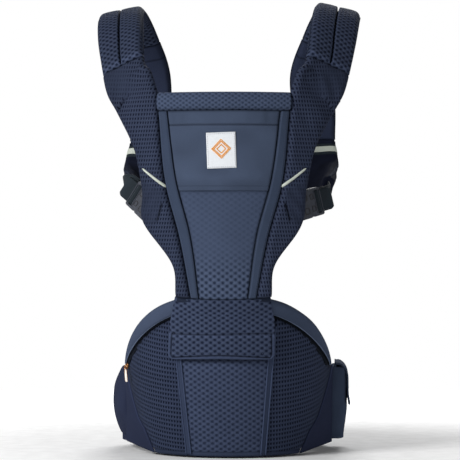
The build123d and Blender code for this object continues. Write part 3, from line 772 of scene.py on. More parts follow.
def wrap_metres(piece, centre_y, radius):
    """Cloth metres for a piece with none: round an upright axis on its sides, flat from above on top."""
    mesh = piece.data
    points, layer = coordinates(mesh), mesh.uv_layers.new(name="cloth")
    for face in mesh.polygons:
        spots = points[list(face.vertices)]
        if abs(face.normal.z) > 0.75:
            metres = spots[:, :2]
        else:
            turn = np.unwrap(np.arctan2(spots[:, 0], centre_y - spots[:, 1]))
            metres = np.stack([turn * radius, spots[:, 2]], -1)
        for loop, uv in zip(face.loop_indices, metres):
            layer.data[loop].uv = uv


def stuffed(name, nodes, material, voxel, shrink, cap, axis=(0.0, 0.15), shape=None):
    """A padded piece from CAD solids: drawn in, remeshed and blown up by cloth pressure, then shaped once more."""
    mesh = bpy.data.meshes.new(name)
    points, faces = [], []
    for node in nodes:
        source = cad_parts[node].data
        faces += [[k + len(points) for k in face.vertices] for face in source.polygons]
        points += [tuple(p) for p in coordinates(source)]
    mesh.from_pydata(points, [], faces)
    piece = bpy.data.objects.new(name, mesh)
    bpy.context.scene.collection.objects.link(piece)
    remesh = piece.modifiers.new("voxels", "REMESH")
    remesh.mode, remesh.voxel_size = "VOXEL", voxel
    applied(piece)
    set_coordinates(piece.data, coordinates(piece.data) - vertex_normals(piece.data) * shrink)
    inflate(piece, cap)
    finer = piece.modifiers.new("finer", "SUBSURF")
    finer.levels = finer.render_levels = 1
    applied(piece)
    if shape:
        set_coordinates(piece.data, shape(coordinates(piece.data), vertex_normals(piece.data)))
    wrap_metres(piece, *axis)
    piece.data.polygons.foreach_set("use_smooth", [True] * len(piece.data.polygons))
    piece.data.materials.clear()
    piece.data.materials.append(material)
    return piece


# ---- hip seat ------------------------------------------------------------------------------------------
def piping_x(z):
    """The half distance between the two piped seams at the heights z."""
    return np.interp(z, (PIPING_LOW[1], PIPING_HIGH[1]), (PIPING_LOW[0], PIPING_HIGH[0]))


def arch_point(arch, turn, grow, back=0.0):
    """Points along an arch on the seat's front, grown outwards and moved back over its top."""
    x = arch[0] * np.cos(turn)
    return on_seat(x, arch_height(arch, x), grow, 3 * MM, back)


def arch_band(high, low, turn, grow, width):
    """A grid between two arches, for a tape of the given width."""
    rows, turn = np.linspace(0, 1, 6)[:, None], turn[None]
    arch = [a + rows * (b - a) for a, b in zip(high, low)]
    return Grid(arch_point(arch, turn, grow), SEAT_TURN * turn + 0 * rows, width * rows + 0 * turn)


def seat_hem(z):
    """1 on the sewn line along the foot of the seat's covers."""
    return groove(z - SEAT_HEM, 1.3 * MM)


def cover_rise(grid, fullness, wrinkles, hem):
    """How far a cover of the seat stands out: rounded at its edges, full in the middle and drawn in at its hem."""
    rise = roll(grid.ends, 4 * MM, 0.3) * roll(grid.sides, 4 * MM) * (3.2 * MM + fullness * grid.crown() + wrinkles)
    return np.maximum(rise - 0.9 * MM * hem, 0.4 * MM)


def dipped(points, normals):
    """The seat cushion's gentle dip where a child sits."""
    dip = 4 * MM * np.exp(-((points[:, 0] / 0.09) ** 2) - (((points[:, 1] + 0.15) / 0.05) ** 2))
    return points - np.array([0, 0, 1]) * (dip * np.clip(normals[:, 2], 0, 1))[:, None]


seat_cushion = stuffed(
    "seat_cushion", ["seat_foam_core"], LINING_CLOTH, 5 * MM, 0.5 * MM, 4.4 * MM, (SEAT_Y, 0.15), dipped
)
place_soft(seat_cushion, 0.9, "waist", "navy_woven", "seat_foam_core", "seat_top_cover")

# Middle cover, between the two piped seams
share, across = spread(80, 0.6)[:, None], both_ways(71)[None]
z = share * arch_height(ZIP_LOW, across * MIDDLE_TOP_X)
x = piping_x(z) * across
grid = Grid(on_seat(x, z, -3 * MM), x, z)
hem = seat_hem(z)
ripple = 0.4 * MM * mottle(x, z * 1.5, 16 * MM, 3)
rise = cover_rise(grid, 1.8 * MM, ripple, hem)
# painted_flap_shadow paints the flap's shadow on the cover below it; the shade mark also lifts the whole cover as
# painted light.
painted_flap_shadow = ease((z - FLAP_LOW + 0.006) / 0.006)
shade = 0.16 - 0.3 * groove(grid.sides, 3 * MM) - 0.80 * painted_flap_shadow - 0.3 * hem - 0.15 * (z < SEAT_HEM)
tight = np.where(z < SEAT_HEM, 1.0, 0.25)
seat_middle = pad("seat_middle_cover", grid, rise, 0.6 * MM, NAVY_MESH, shade, tight=tight)
place_soft(seat_middle, 0.5, "waist", "navy_mesh", "seat_cover_middle")

# Side covers in square mesh, and the woven gussets that join them to the belt
SEAT_END = math.acos((SEAT_Y - SEAT_BACK_Y) / SEAT_B[1])
GUSSET_FROM = ((0, 0.034, 0.051, 0.0825, 0.110, 0.240), (56, 64, 73, 80, 86, 86))  # height, degrees round
for side in SIGN:
    columns = spread(72, 0.6)[None]
    turn_top = np.arcsin(piping_x(0.19) / RIM_SIDE)
    top_x = RIM_SIDE * np.sin(turn_top + columns * (SEAT_END - turn_top))
    z = spread(70, 0.5)[:, None] * arch_height(ZIP_LOW, top_x)
    a, b = seat_axes(z, -3 * MM, -3 * MM)
    first = np.arcsin(piping_x(z) / (a + 3 * MM))
    last = np.minimum(np.radians(np.interp(z, *GUSSET_FROM)), SEAT_END)
    turn = first + columns * (last - first)
    grid = Grid(np.stack([a * np.sin(turn), SEAT_Y - b * np.cos(turn), z], -1), a * turn, z - (a * turn) ** 2 / 1.5)
    folds = np.sin(grid.along * 2 * np.pi / (15 * MM) + 2 * mottle(grid.across, z, 50 * MM, 12))
    pull = (0.45 * MM * folds + 0.3 * MM * mottle(grid.across, z * 0.5, 16 * MM, 11)) * ease(grid.sides / 0.02)
    hem = seat_hem(z)
    rise = cover_rise(grid, 2.6 * MM, pull, hem)
    outward = ease((turn - 0.75) / 0.75)
    shade = -0.3 * groove(grid.left, 3 * MM) - 0.3 * groove(grid.high, 6 * MM) - 0.25 * outward - 0.3 * hem
    tight = np.maximum(0.75 * outward, 1.0 * (z < SEAT_HEM))
    piece = pad(f"seat_side_cover_{side}", grid, rise, 0.6 * MM, SEAT_MESH, shade, side == "left", tight)
    place_soft(piece, 0.5, "waist", "seat_side_mesh", f"seat_cover_{side}")

    share, columns = spread(50, 0.4), spread(24, 0.3)[None]
    z = 0.0005 + share * 0.1245
    turn = np.minimum(np.radians(np.interp(z, *GUSSET_FROM)), SEAT_END) - 0.015
    a, b = seat_axes(z, 0.5 * MM, 0.5 * MM)
    seam = np.stack([a * np.sin(turn), SEAT_Y - b * np.cos(turn), z], -1)[:, None]
    belt = np.stack([GUSSET_FOOT[0] + 0 * z, GUSSET_FOOT[1] + 0 * z, 0.012 + share * 0.108], -1)[:, None]
    z = z[:, None]
    grid = Grid(seam + columns[..., None] * (belt - seam), 0.02 * columns + 0 * z, z + 0 * columns)
    rise = roll(grid.sides, 4 * MM) * (1.5 * MM + 2 * MM * grid.crown()) * roll(grid.ends + 2 * MM, 4 * MM)
    rise = rise + 0.2 * MM
    shade = 0.7 * groove(grid.left - 1.2 * MM, 0.8 * MM)
    piece = pad(f"seat_gusset_{side}", grid, rise, 1.5 * MM, DEEP_WOVEN, shade, side == "left")
    place_soft(piece, 0.3, "waist", "navy_woven")

# Piped binding over the seams: a flat strip with a cord along each edge
z = np.linspace(0.002, 0.186, 60)
bindings = []
for sign in (-1, 1):
    path = on_seat(sign * (piping_x(z) - 1 * MM), z, 1.3 * MM)
    out = path - np.stack([0 * z, np.full_like(z, SEAT_Y), z], -1)
    bindings.append(sweep("strip", path, out, tape_section(6.4 * MM, 1.4 * MM), BINDING, shade=0.2))
    for shift in (-3.3 * MM, 3.3 * MM):
        path = on_seat(sign * (piping_x(z) - 1 * MM) + shift, z, 1.9 * MM)
        bindings.append(sweep("cord", path, out, round_section(1.05 * MM), BINDING, shade=0.75))
place(join("seat_piping_strips", bindings), "waist", "navy_woven", "seat_piping")

# Rim band: a woven crescent over the zip, rolled back over the seat's top edge
turn = (np.pi * spread(170, 0.3))[None]
rows = np.linspace(0, 1, 26)[:, None]
front = ease(rows * 1.35)
arch = [low + front * (high - low) for low, high in zip(RIM_LOW, RIM_TOP)]
lift = 3.2 * MM * np.sqrt(np.clip(1 - front**6, 0, 1)) + 1.2 * MM * np.sin(np.pi * np.clip(rows * 1.35, 0, 1))
base = arch_point(arch, np.pi - turn, 0.4 * MM + lift, 9 * MM * ease(rows * 2.2 - 1.2))
grid = Grid(base, SEAT_TURN * turn + 0 * rows, 0.020 * rows + 0 * turn)
rise = 1.0 * MM * roll(grid.ends, 2 * MM) + 0.3 * MM + 0.4 * MM * mottle(grid.across, grid.along, 30 * MM, 5)
shade = 0.15 * ease(rows * 2) - 0.12 + 0 * turn
rim_band = pad("rim_band", grid, np.maximum(rise, THIN), 0.3 * MM, RIM_WOVEN, shade)
place_soft(rim_band, 0.3, "waist", "navy_woven", "seat_rim_band")

turn = np.pi * spread(140, 0.2)
path = arch_point(RIM_LOW, turn, 3.4 * MM)
out = path - np.array([0, SEAT_Y, VAULT_Z * 0.9])
place(sweep("rim_piping", path, out, round_section(1.1 * MM), BRIGHT_BINDING), "waist", "navy_woven")

# Zip: tape, the backing behind it and interlocked teeth
under_rim = (RIM_LOW[0] + 1 * MM, RIM_LOW[1] + 1.5 * MM, *RIM_LOW[2:])
grid = arch_band(under_rim, ZIP_LOW, turn, 0.9 * MM, 0.008)
place(pad("zip_cloth", grid, 0.3 * MM, 0.3 * MM, ZIP_TAPE), "waist", "zip_black", "zip_tape")
grid = arch_band(*ZIP_BACKING, turn, -3.5 * MM, 0.018)
place(pad("zip_backing", grid, 0.3 * MM, 0.5 * MM, ZIP_TAPE), "waist", "zip_black")

middle = [(high + low) / 2 - shift for high, low, shift in zip(RIM_LOW, ZIP_LOW, (0.4 * MM, 0.4 * MM, 0, 0))]
path = evenly(arch_point(middle, turn, 1.7 * MM), 1.3 * MM)
along = unit(np.gradient(path, axis=0))
out = path - np.array([0, SEAT_Y, VAULT_Z])
out = unit(out - (out * along).sum(1, keepdims=True) * along)
sides = np.cross(along, out)
stretch, section = np.linspace(-1.5 * MM, 1.5 * MM, 5), round_section(0.42 * MM, sides=6)
arc = np.sqrt(np.clip(1 - (stretch / (1.7 * MM)) ** 2, 0.1, 1)) * 0.6 * MM
teeth = []
for k, (spot, forward, side, up) in enumerate(zip(path, along, sides, out)):
    core = spot + side * (stretch[:, None] + (0.7 * MM if k % 2 else -0.7 * MM)) + up * arc[:, None]
    teeth.append((core[:, None] + forward * section[None, :, :1] + up * section[None, :, 1:], stretch))
place(build_beads("zip_teeth", teeth, ZIP_TAPE), "waist", "zip_black")

# Slider: a rounded wedge on the first stretch of the zip, with a bridge that holds the pull
slider_at, slider_out = np.array([-0.1458, -0.1110, 0.1250]), np.array([-0.80, -0.60, 0.05])
slider_along = unit(np.array([0.30, -0.42, 0.85]))
steps = np.linspace(-1, 1, 12)[:, None]
shell = sweep(
    "shell", slider_at + slider_along * steps * 4.2 * MM, slider_out,
    superellipse(6.6 * MM, 3.2 * MM, 3.5), ZIP_METAL,
    swell=0.55 + 0.45 * np.sqrt(1 - steps[:, 0] ** 6) - 0.12 * steps[:, 0],
)
arc = np.linspace(-1, 1, 14)[:, None]
bridge = sweep(
    "bridge", slider_at + slider_along * arc * 3.0 * MM + slider_out * (1.2 + 2.2 * np.sqrt(1 - arc**2)) * MM,
    np.cross(slider_along, slider_out), superellipse(1.0 * MM, 2.4 * MM, 3.0, 12), ZIP_METAL,
)
place(join("zip_slider_body", [shell, bridge]), "zip_slider", "zip_metal", "zip_slider")

# Pull: a metal link and a moulded tongue that hangs from the bridge
pull_top, pull_foot = np.array([-0.1484, -0.1125, 0.1250]), np.array([-0.1459, -0.1150, 0.1020])
down = pull_foot - pull_top
face_out = np.array([-0.62, -0.78, 0.0])
turn = np.linspace(0, 2 * np.pi, 25)[:-1, None]
link_side = unit(np.cross(down, face_out))
link = sweep(
    "link", pull_top + down * 0.10 + link_side * np.cos(turn) * 2.2 * MM + down * 0.14 * np.sin(turn),
    face_out, round_section(0.55 * MM), ZIP_METAL, closed=True,
)
steps = np.linspace(0, 1, 20)[:, None]
tongue = sweep(
    "zip_pull_tongue", pull_top + down * (0.22 + 0.78 * steps), face_out,
    superellipse(4.6 * MM, 1.9 * MM, 3.0), PULL_RUBBER,
    swell=0.62 + 0.38 * ease(steps[:, 0] * 2) - 0.25 * ease(steps[:, 0] * 6 - 5),
)
rims = [
    sweep(
        "rim", pull_top + down * (0.26 + 0.70 * steps) + link_side * shift + face_out * 0.3 * MM, face_out,
        round_section(0.45 * MM), ZIP_METAL,
    )
    for shift in (-2.2 * MM, 2.2 * MM)
]
place(tongue, "zip_pull", "zip_pull", "zip_pull")
place(join("zip_pull_link", [link, *rims]), "zip_pull", "zip_metal")

# ---- fastening flap ------------------------------------------------------------------------------------
def flap_lean(z):
    """How far the flap hangs to one side."""
    return -1.5 * MM - 3.0 * MM * (SEAM_Z - z) / (SEAM_Z - FLAP_LOW)


z = FLAP_LOW + spread(100, 0.8) * (SEAM_Z + 0.3 * MM - FLAP_LOW)
half = np.interp(z, *FLAP_EDGE)
below = np.clip(FLAP_CORNER - (z - FLAP_LOW), 0, FLAP_CORNER)
half = half - FLAP_CORNER + np.sqrt(FLAP_CORNER**2 - below**2)
x = half[:, None] * both_ways(95, 0.7) + flap_lean(z)[:, None]
z = z[:, None] + 0 * x
forward = 4.2 * MM + 3.0 * MM * ease((z - 0.205) / 0.024)
grid = Grid(on_seat(x, z, forward) + np.stack([0 * x, 0 * x, smile(x, z)], -1), x, z)
edge = np.minimum(grid.sides, grid.low)
in_box = ease((FLAP_BOX - z) / (1 * MM))
fold = groove(z - FLAP_BOX - 0.5 * MM * np.sin(x / 0.022), 1.1 * MM) * ease((grid.sides - 3 * MM) / (3 * MM))
seam = groove(edge - 6 * MM, 1.0 * MM) * in_box
border = (1 - ease((edge - 5 * MM) / (1.5 * MM))) * in_box
quilt = (1 - border) * (1.0 * MM * grid.crown() + 0.45 * MM * mottle(x, z, 14 * MM, 21))
thick = 4.2 * MM + 0.8 * MM * border + quilt + 0.7 * MM * in_box
rise = roll(edge, 3 * MM) * roll(grid.high + 0.6 * MM, 3 * MM) * thick - 1.2 * MM * (seam + fold)
shade = 0.22 * border - 0.75 * seam - 0.65 * fold
shade = shade + 0.25 * groove(z - FLAP_BOX + 3 * MM, 2 * MM) - 0.35 * groove(grid.high, 1.2 * MM)
flap = pad("fastening_flap", grid, np.maximum(rise, THIN), 0.3 * MM, NAVY_MESH, shade, tight=0.9 * border)
place_soft(flap, 0.5, "flap", "navy_mesh", "panel_flap")

z = np.linspace(PATCH_LOW, PATCH_HIGH, 16)[:, None]
x = both_ways(40, 0.5)[None] * PATCH_X + 0 * z
grid = Grid(on_seat(x, z + 0 * x, 1.2 * MM), x, z + 0 * x)
rise = 1.0 * MM * roll(np.minimum(grid.sides, grid.ends), 1.2 * MM)
fastener = pad("hook_and_loop_patch", grid, rise, 0.8 * MM, LOOP_PILE)
place(fastener, "waist", "navy_woven", "flap_fastener")

# The cloth that joins panel and seat behind the flap
share = np.linspace(0, 1, 20)[:, None]
x = both_ways(60, 0.4)[None] * FOLD_X + 0 * share
z = FOLD_LOW + share * (FOLD_HIGH - FOLD_LOW) + 0 * x
y = PANEL_AXIS_Y - np.sqrt((PANEL_R - 1.5 * MM) ** 2 - x**2)
grid = Grid(np.stack([x, y, z], -1), x, z)
fold_binding = pad("fold_binding", grid, 1.0 * MM * roll(grid.sides, 2 * MM), 1.0 * MM, BINDING, -0.5)
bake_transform(fold_binding)

# ---- body panel ----------------------------------------------------------------------------------------
def strip_in(z):
    """The inner edge of the panel's side strips."""
    return edge_x(STRIP_INNER, z)


def strip_out(z):
    """The outer edge of the panel's side strips."""
    return edge_x(STRIP_OUTER, z)


def wing_in(z):
    """The wings' inner edge, along the strips and then the neck band."""
    return np.where(z < BAND_LOW, edge_x(STRIP_OUTER, np.minimum(z, BAND_LOW)), BAND_X)


def armhole(z, side="right"):
    """The wings' outer edge, fuller beside the buckles."""
    fuller = (7.0 if side == "left" else 2.5) * MM * groove(z - 0.340, 0.022)
    return edge_x(ARMHOLE, z) + fuller


grid = panel_grid(
    lambda z: -armhole(z) + 1 * MM, lambda z: armhole(z) - 1 * MM, PANEL_LOW, PANEL_HIGH, 90, 90, PANEL_R - 0.2 * MM
)
x, z = grid.base[..., 0], grid.base[..., 2]
seams = np.clip(groove(np.abs(x) - LINING_SEAM_X, 3 * MM) + groove(z - LINING_SEAM_Z, 3 * MM), 0, 1)
sink = 3.4 * MM + 1.0 * MM * grid.crown() + 0.3 * MM * mottle(grid.across, grid.along, 30 * MM, 8)
sink = np.maximum((sink - 1.5 * MM * seams) * roll(grid.sides, 4 * MM), 0.5 * MM)
lining = pad("panel_lining_pad", grid, 0.1 * MM, sink, LINING_CLOTH, -0.3 * seams)
place_soft(lining, 0.4, "panel", "navy_woven", "panel_lining")

grid = panel_grid(lambda z: -BAND_X + 0 * z, lambda z: BAND_X + 0 * z, BAND_LOW, PANEL_HIGH, 100, 26)
rise = roll(grid.ends, 11 * MM, 0.15) * roll(grid.sides, 3 * MM, 0.85) * 9.5 * MM
rise = rise + 0.7 * MM * mottle(grid.across, grid.along * 0.4, 22 * MM, 4) * ease(grid.ends / 0.01)
shade = -0.45 * groove(grid.low, 2.5 * MM) - 0.35 * groove(grid.sides, 1.5 * MM)
grid.across, grid.along = grid.across * 1.3, grid.along * 1.3
band = pad("neck_band", grid, rise, 0.2 * MM, LIT_PANEL_MESH, shade, tight=0.35)
place_soft(band, 0.7, "panel", "navy_mesh", "panel_top_band")

grid = panel_grid(lambda z: -strip_in(z), strip_in, POCKET_LOW - 2 * MM, BAND_LOW, 90, 110)
x, z = grid.base[..., 0], grid.base[..., 2]
hem, foot = groove(z - POCKET_HEM, 1.0 * MM), groove(grid.low - 7 * MM, 0.8 * MM)
slack = 1.1 * MM * mottle(x * 0.6, z, 24 * MM, 14)
slack = slack + 1.4 * MM * groove(z - POCKET_SAG_Z, 8 * MM) * np.clip(grid.crown() * 3, 0, 1)
gather = 0.45 * MM * mottle(x * 2.5, z * 0.5, 20 * MM, 16) * ease((z - POCKET_HEM - 1 * MM) / 0.003)
rise = roll(grid.low, 1.5 * MM, 0.25) * roll(grid.sides, 4 * MM) * (4.4 * MM + 1.8 * MM * grid.crown() + slack)
rise = rise + gather * ease(grid.sides / 0.006) - 1.1 * MM * hem - 0.5 * MM * foot
shade = -0.55 * hem - 0.12 * foot - 0.25 * groove(grid.sides, 2 * MM)
shade = shade + 0.10 * groove(z - POCKET_HEM + 2.2 * MM, 1 * MM)
shade = shade + 0.10 * slack / MM + 0.08 * mottle(x, z, 30 * MM, 19)
shade = shade - 0.5 * groove(grid.high, 2 * MM) - 0.08 * ease((0.41 - z) / 0.03)
pocket = pad("hood_pocket_pad", grid, np.maximum(rise, THIN), 0.2 * MM, NAVY_WOVEN, shade)
place_soft(pocket, 0.3, "panel", "navy_woven", "hood_pocket")

grid = panel_grid(lambda z: -strip_in(z), strip_in, SEAM_Z, POCKET_LOW + 1 * MM, 60, 90)
z = grid.base[..., 2]
rise = roll(grid.ends + 0.6 * MM, 3 * MM) * roll(grid.sides, 4 * MM) * (2.6 * MM + 1.6 * MM * grid.crown())
rise = rise + 0.35 * MM * mottle(grid.across, grid.along, 24 * MM, 31) * ease(grid.sides / 0.01)
shade = -0.3 * groove(grid.sides, 2.5 * MM) - 0.6 * groove(grid.high, 4 * MM) - 0.4 * groove(grid.low, 1.2 * MM)
tight = 0.80 * ease((z - MESH_OPEN_Z) / (MESH_SHUT_Z - MESH_OPEN_Z))
lower = pad("lower_mesh_panel", grid, np.maximum(rise, THIN), 0.2 * MM, LIT_PANEL_MESH, shade, tight=tight)
place_soft(lower, 0.4, "panel", "navy_mesh", "panel_lower_mesh")

grid = panel_grid(strip_in, strip_out, SEAM_Z, BAND_LOW, 30, 130)
rise = roll(grid.ends + 0.5 * MM, 2 * MM) * roll(grid.sides, 3.2 * MM) * 5.0 * MM
rise = rise - 0.5 * MM * groove(grid.sides - 2.0 * MM, 0.6 * MM)
rise = np.maximum(rise + 0.35 * MM * mottle(grid.across, grid.along, 12 * MM, 40) * ease(grid.sides / 0.004), THIN)
shade = 0.22 * groove(grid.sides - 1.9 * MM, 0.7 * MM) - 0.75 * groove(grid.sides, 1.1 * MM)
shade = shade - 0.3 * groove(grid.ends, 1.5 * MM)
strips = [pad(f"strip_{side}", grid, rise, 0.2 * MM, STRIP_WOVEN, shade, side == "left") for side in SIGN]
strip_pair = place_soft(join("side_strip_pair", strips), 0.4, "panel", "navy_woven", "side_strips")

# Wings: one padded mesh piece a side, from the panel's foot up into the shoulder strap
WING_ROWS, STRAP_ROWS, WING_COLUMNS = 120, 30, 46
wings = {}
for side in SIGN:
    z = SEAM_Z + np.linspace(0, 1, WING_ROWS) * (PANEL_HIGH - 1 * MM - SEAM_Z)
    columns = spread(WING_COLUMNS, 0.7)[None]
    x = wing_in(z)[:, None] + columns * (armhole(z, side) - wing_in(z))[:, None]
    u = columns * 2 - 1
    t = np.linspace(0.06, 1, STRAP_ROWS)[:, None] * strap_seam(u)
    centre, across, _, half = strap_frame(t)
    base = np.concatenate([bent(x, z[:, None] + 0 * x, PANEL_R), centre + across * (half * u)[..., None]])
    for _ in range(8):  # eases the turn from panel to strap
        base[1:-1] = base[1:-1] * 0.5 + (base[:-2] + base[2:]) * 0.25
    x, height = base[..., 0], base[..., 2]
    grid = Grid(base, x * 1.07, height * 1.04)  # the front view, stretched a little
    in_strap = ease((height - 0.500) / 0.050)
    puff = 8.6 * MM * roll(grid.sides, 9 * MM) * roll(grid.ends + 0.8 * MM, 6 * MM)
    creases = 2.2 * MM * mottle(grid.across + grid.along * 0.35, grid.along * 0.22, 11 * MM, 52)
    creases = creases * ease((height - 0.445) / 0.04)
    tension = 0.8 * MM * mottle(grid.across + 0.5 * grid.along, grid.along * 0.3, 13 * MM, 57)
    woven = ease((height - WOVEN_Z[0]) / 0.006) * ease((WOVEN_Z[1] + 0.55 * (x - 0.085) - height) / 0.006)
    woven = woven * ease((x - WOVEN_X - 0.25 * (0.36 - height)) / 0.010)
    folds = woven * 0.6 * MM * np.sin((height * 0.8 + x) / (3.0 * MM))
    dart = groove(x - WING_DART_X - (0.357 - height) * 0.28, 1.2 * MM)
    dart = dart * ease((height - WING_DART_Z[0]) / 0.003) * ease((WING_DART_Z[1] - height) / 0.003)
    rise = puff + (creases + tension + folds) * ease(grid.sides / 0.012) - 2.6 * MM * dart
    inner_thin = 0.35 + 0.65 * ease(grid.left / 0.03)
    sink = 0.3 * MM + 8.0 * MM * roll(grid.sides, 8 * MM) * in_strap * inner_thin
    outward = grid.left / (grid.left + grid.right)
    shade = -0.75 * dart - 0.12 * in_strap - 0.12 * woven - 0.18 * ease(outward * 2 - 1)
    shade = shade - 0.45 * groove(grid.left, 2 * MM) * (height < BAND_LOW + 0.012)
    shade = shade - 0.3 * groove(grid.high, 1.2 * MM) - 0.4 * groove(grid.low, 1.2 * MM)
    tight = np.maximum(0.6 * woven, 0.65 * ease((height - 0.495) / 0.030) * ease((outward - 0.2) / 0.35))
    piece = pad(f"wing_pad_{side}", grid, np.maximum(rise, 0.4 * MM), sink, WING_MESH, shade, side == "left", tight)
    wings[side] = place_soft(piece, 0.6, "panel", "navy_mesh", f"wing_{side}", f"strap_front_{side}")

# Reflective piping set into each wing
trims = []
for side, sign in SIGN.items():
    xz = through(REFLECTOR, np.linspace(0, 2, 40))
    path = on_surface(wings[side], bent(xz[:, 0], xz[:, 1], PANEL_R + 9 * MM) * (sign, 1, 1), (0, -1, 0))[0]
    path[:, 1] = np.convolve(np.pad(path[:, 1], 4, "edge"), np.ones(9) / 9, "valid")
    rounded_ends = np.clip(np.linspace(0.5, 8, 40), 0, 1) * np.clip(np.linspace(8, 0.4, 40), 0, 1)
    swell = np.linspace(1.0, 0.62, 40) * rounded_ends
    trims.append(sweep("piping", path, (0, -1, 0), round_section(2.3 * MM, 0.8), REFLECTIVE, swell=swell))
place(join("reflective_piping", trims), "panel", "reflective", "wing_reflectors")


# Label with a stitched border and a plain diamond
def on_label(x, z):
    """Front-view places from the label's own."""
    c, s = math.cos(LABEL_LEAN), math.sin(LABEL_LEAN)
    return LABEL_X + x * c - z * s, LABEL_Z + z * c + x * s


x = (spread(24, 0.5) - 0.5) * LABEL_W
z = (spread(24, 0.5) - 0.5)[:, None] * LABEL_H
flat = bent(*on_label(x, z), PANEL_R + 3 * MM)
spots = on_surface(pocket, flat.reshape(-1, 3), (0, -1, 0))[0].reshape(flat.shape)
spots[..., 1] = (spots[..., 1] + spots[..., 1].min()) / 2
grid = Grid(spots, x + 0 * z, z + 0 * x)
edge = np.minimum(grid.sides, grid.ends)
shade = -0.10 * groove(edge, 0.8 * MM)
label = pad("label_square", grid, 0.9 * MM * roll(edge, 0.8 * MM), 0.6 * MM, LABEL, shade)
place(label, "panel", "label", "label_patch")


def label_run(points):
    """A closed run of stitches on the label, from its own x and z."""
    points = np.array(points + points[:1], float)
    fine = np.concatenate([np.linspace(a, b, 12, endpoint=False) for a, b in zip(points[:-1], points[1:])])
    return on_surface(label, bent(*on_label(fine[:, 0], fine[:, 1]), PANEL_R + 4 * MM), (0, -1, 0))


inset_x, inset_z = LABEL_W / 2 - 2 * MM, LABEL_H / 2 - 2 * MM
border_run = label_run([(-inset_x, -inset_z), (inset_x, -inset_z), (inset_x, inset_z), (-inset_x, inset_z)])
stitches("label_border_stitches", [border_run], "panel", "label", LABEL_THREAD, 2.6 * MM, 1.8 * MM, 0.28 * MM)
diamonds = [label_run([(-r, 0.002), (0, 0.002 - r), (r, 0.002), (0, 0.002 + r)]) for r in (0.013, 0.0105, 0.006)]
stitches("label_diamond_stitches", diamonds, "panel", "label", ORANGE_THREAD, 2.0 * MM, 2.0 * MM, 0.75 * MM)

# ---- shoulder straps -----------------------------------------------------------------------------------
def settled(piece):
    """Lets a strap piece hang as its side does when worn: the right one rises higher and turns in behind, and the
    left one's tail stands out and down."""
    points = coordinates(piece.data)
    x, y, z = np.abs(points[:, 0]), points[:, 1], points[:, 2]
    inner, high = np.clip((0.193 - x) / 0.066, 0, 1), ease((z - 0.56) / 0.07)
    turned_in = 10 * MM * ease(y / 0.05) * groove(z - 0.560, 0.060)
    tail = 6 * MM * ease(y / 0.05) * groove(z - 0.420, 0.050)
    left = points[:, 0] < 0
    points[:, 0] -= np.where(left, tail, turned_in)
    points[:, 2] += np.where(left, 2.5 * MM * inner * high - 0.7 * tail, (1.5 + 5.5 * inner) * MM * high)
    set_coordinates(piece.data, points)
    return piece


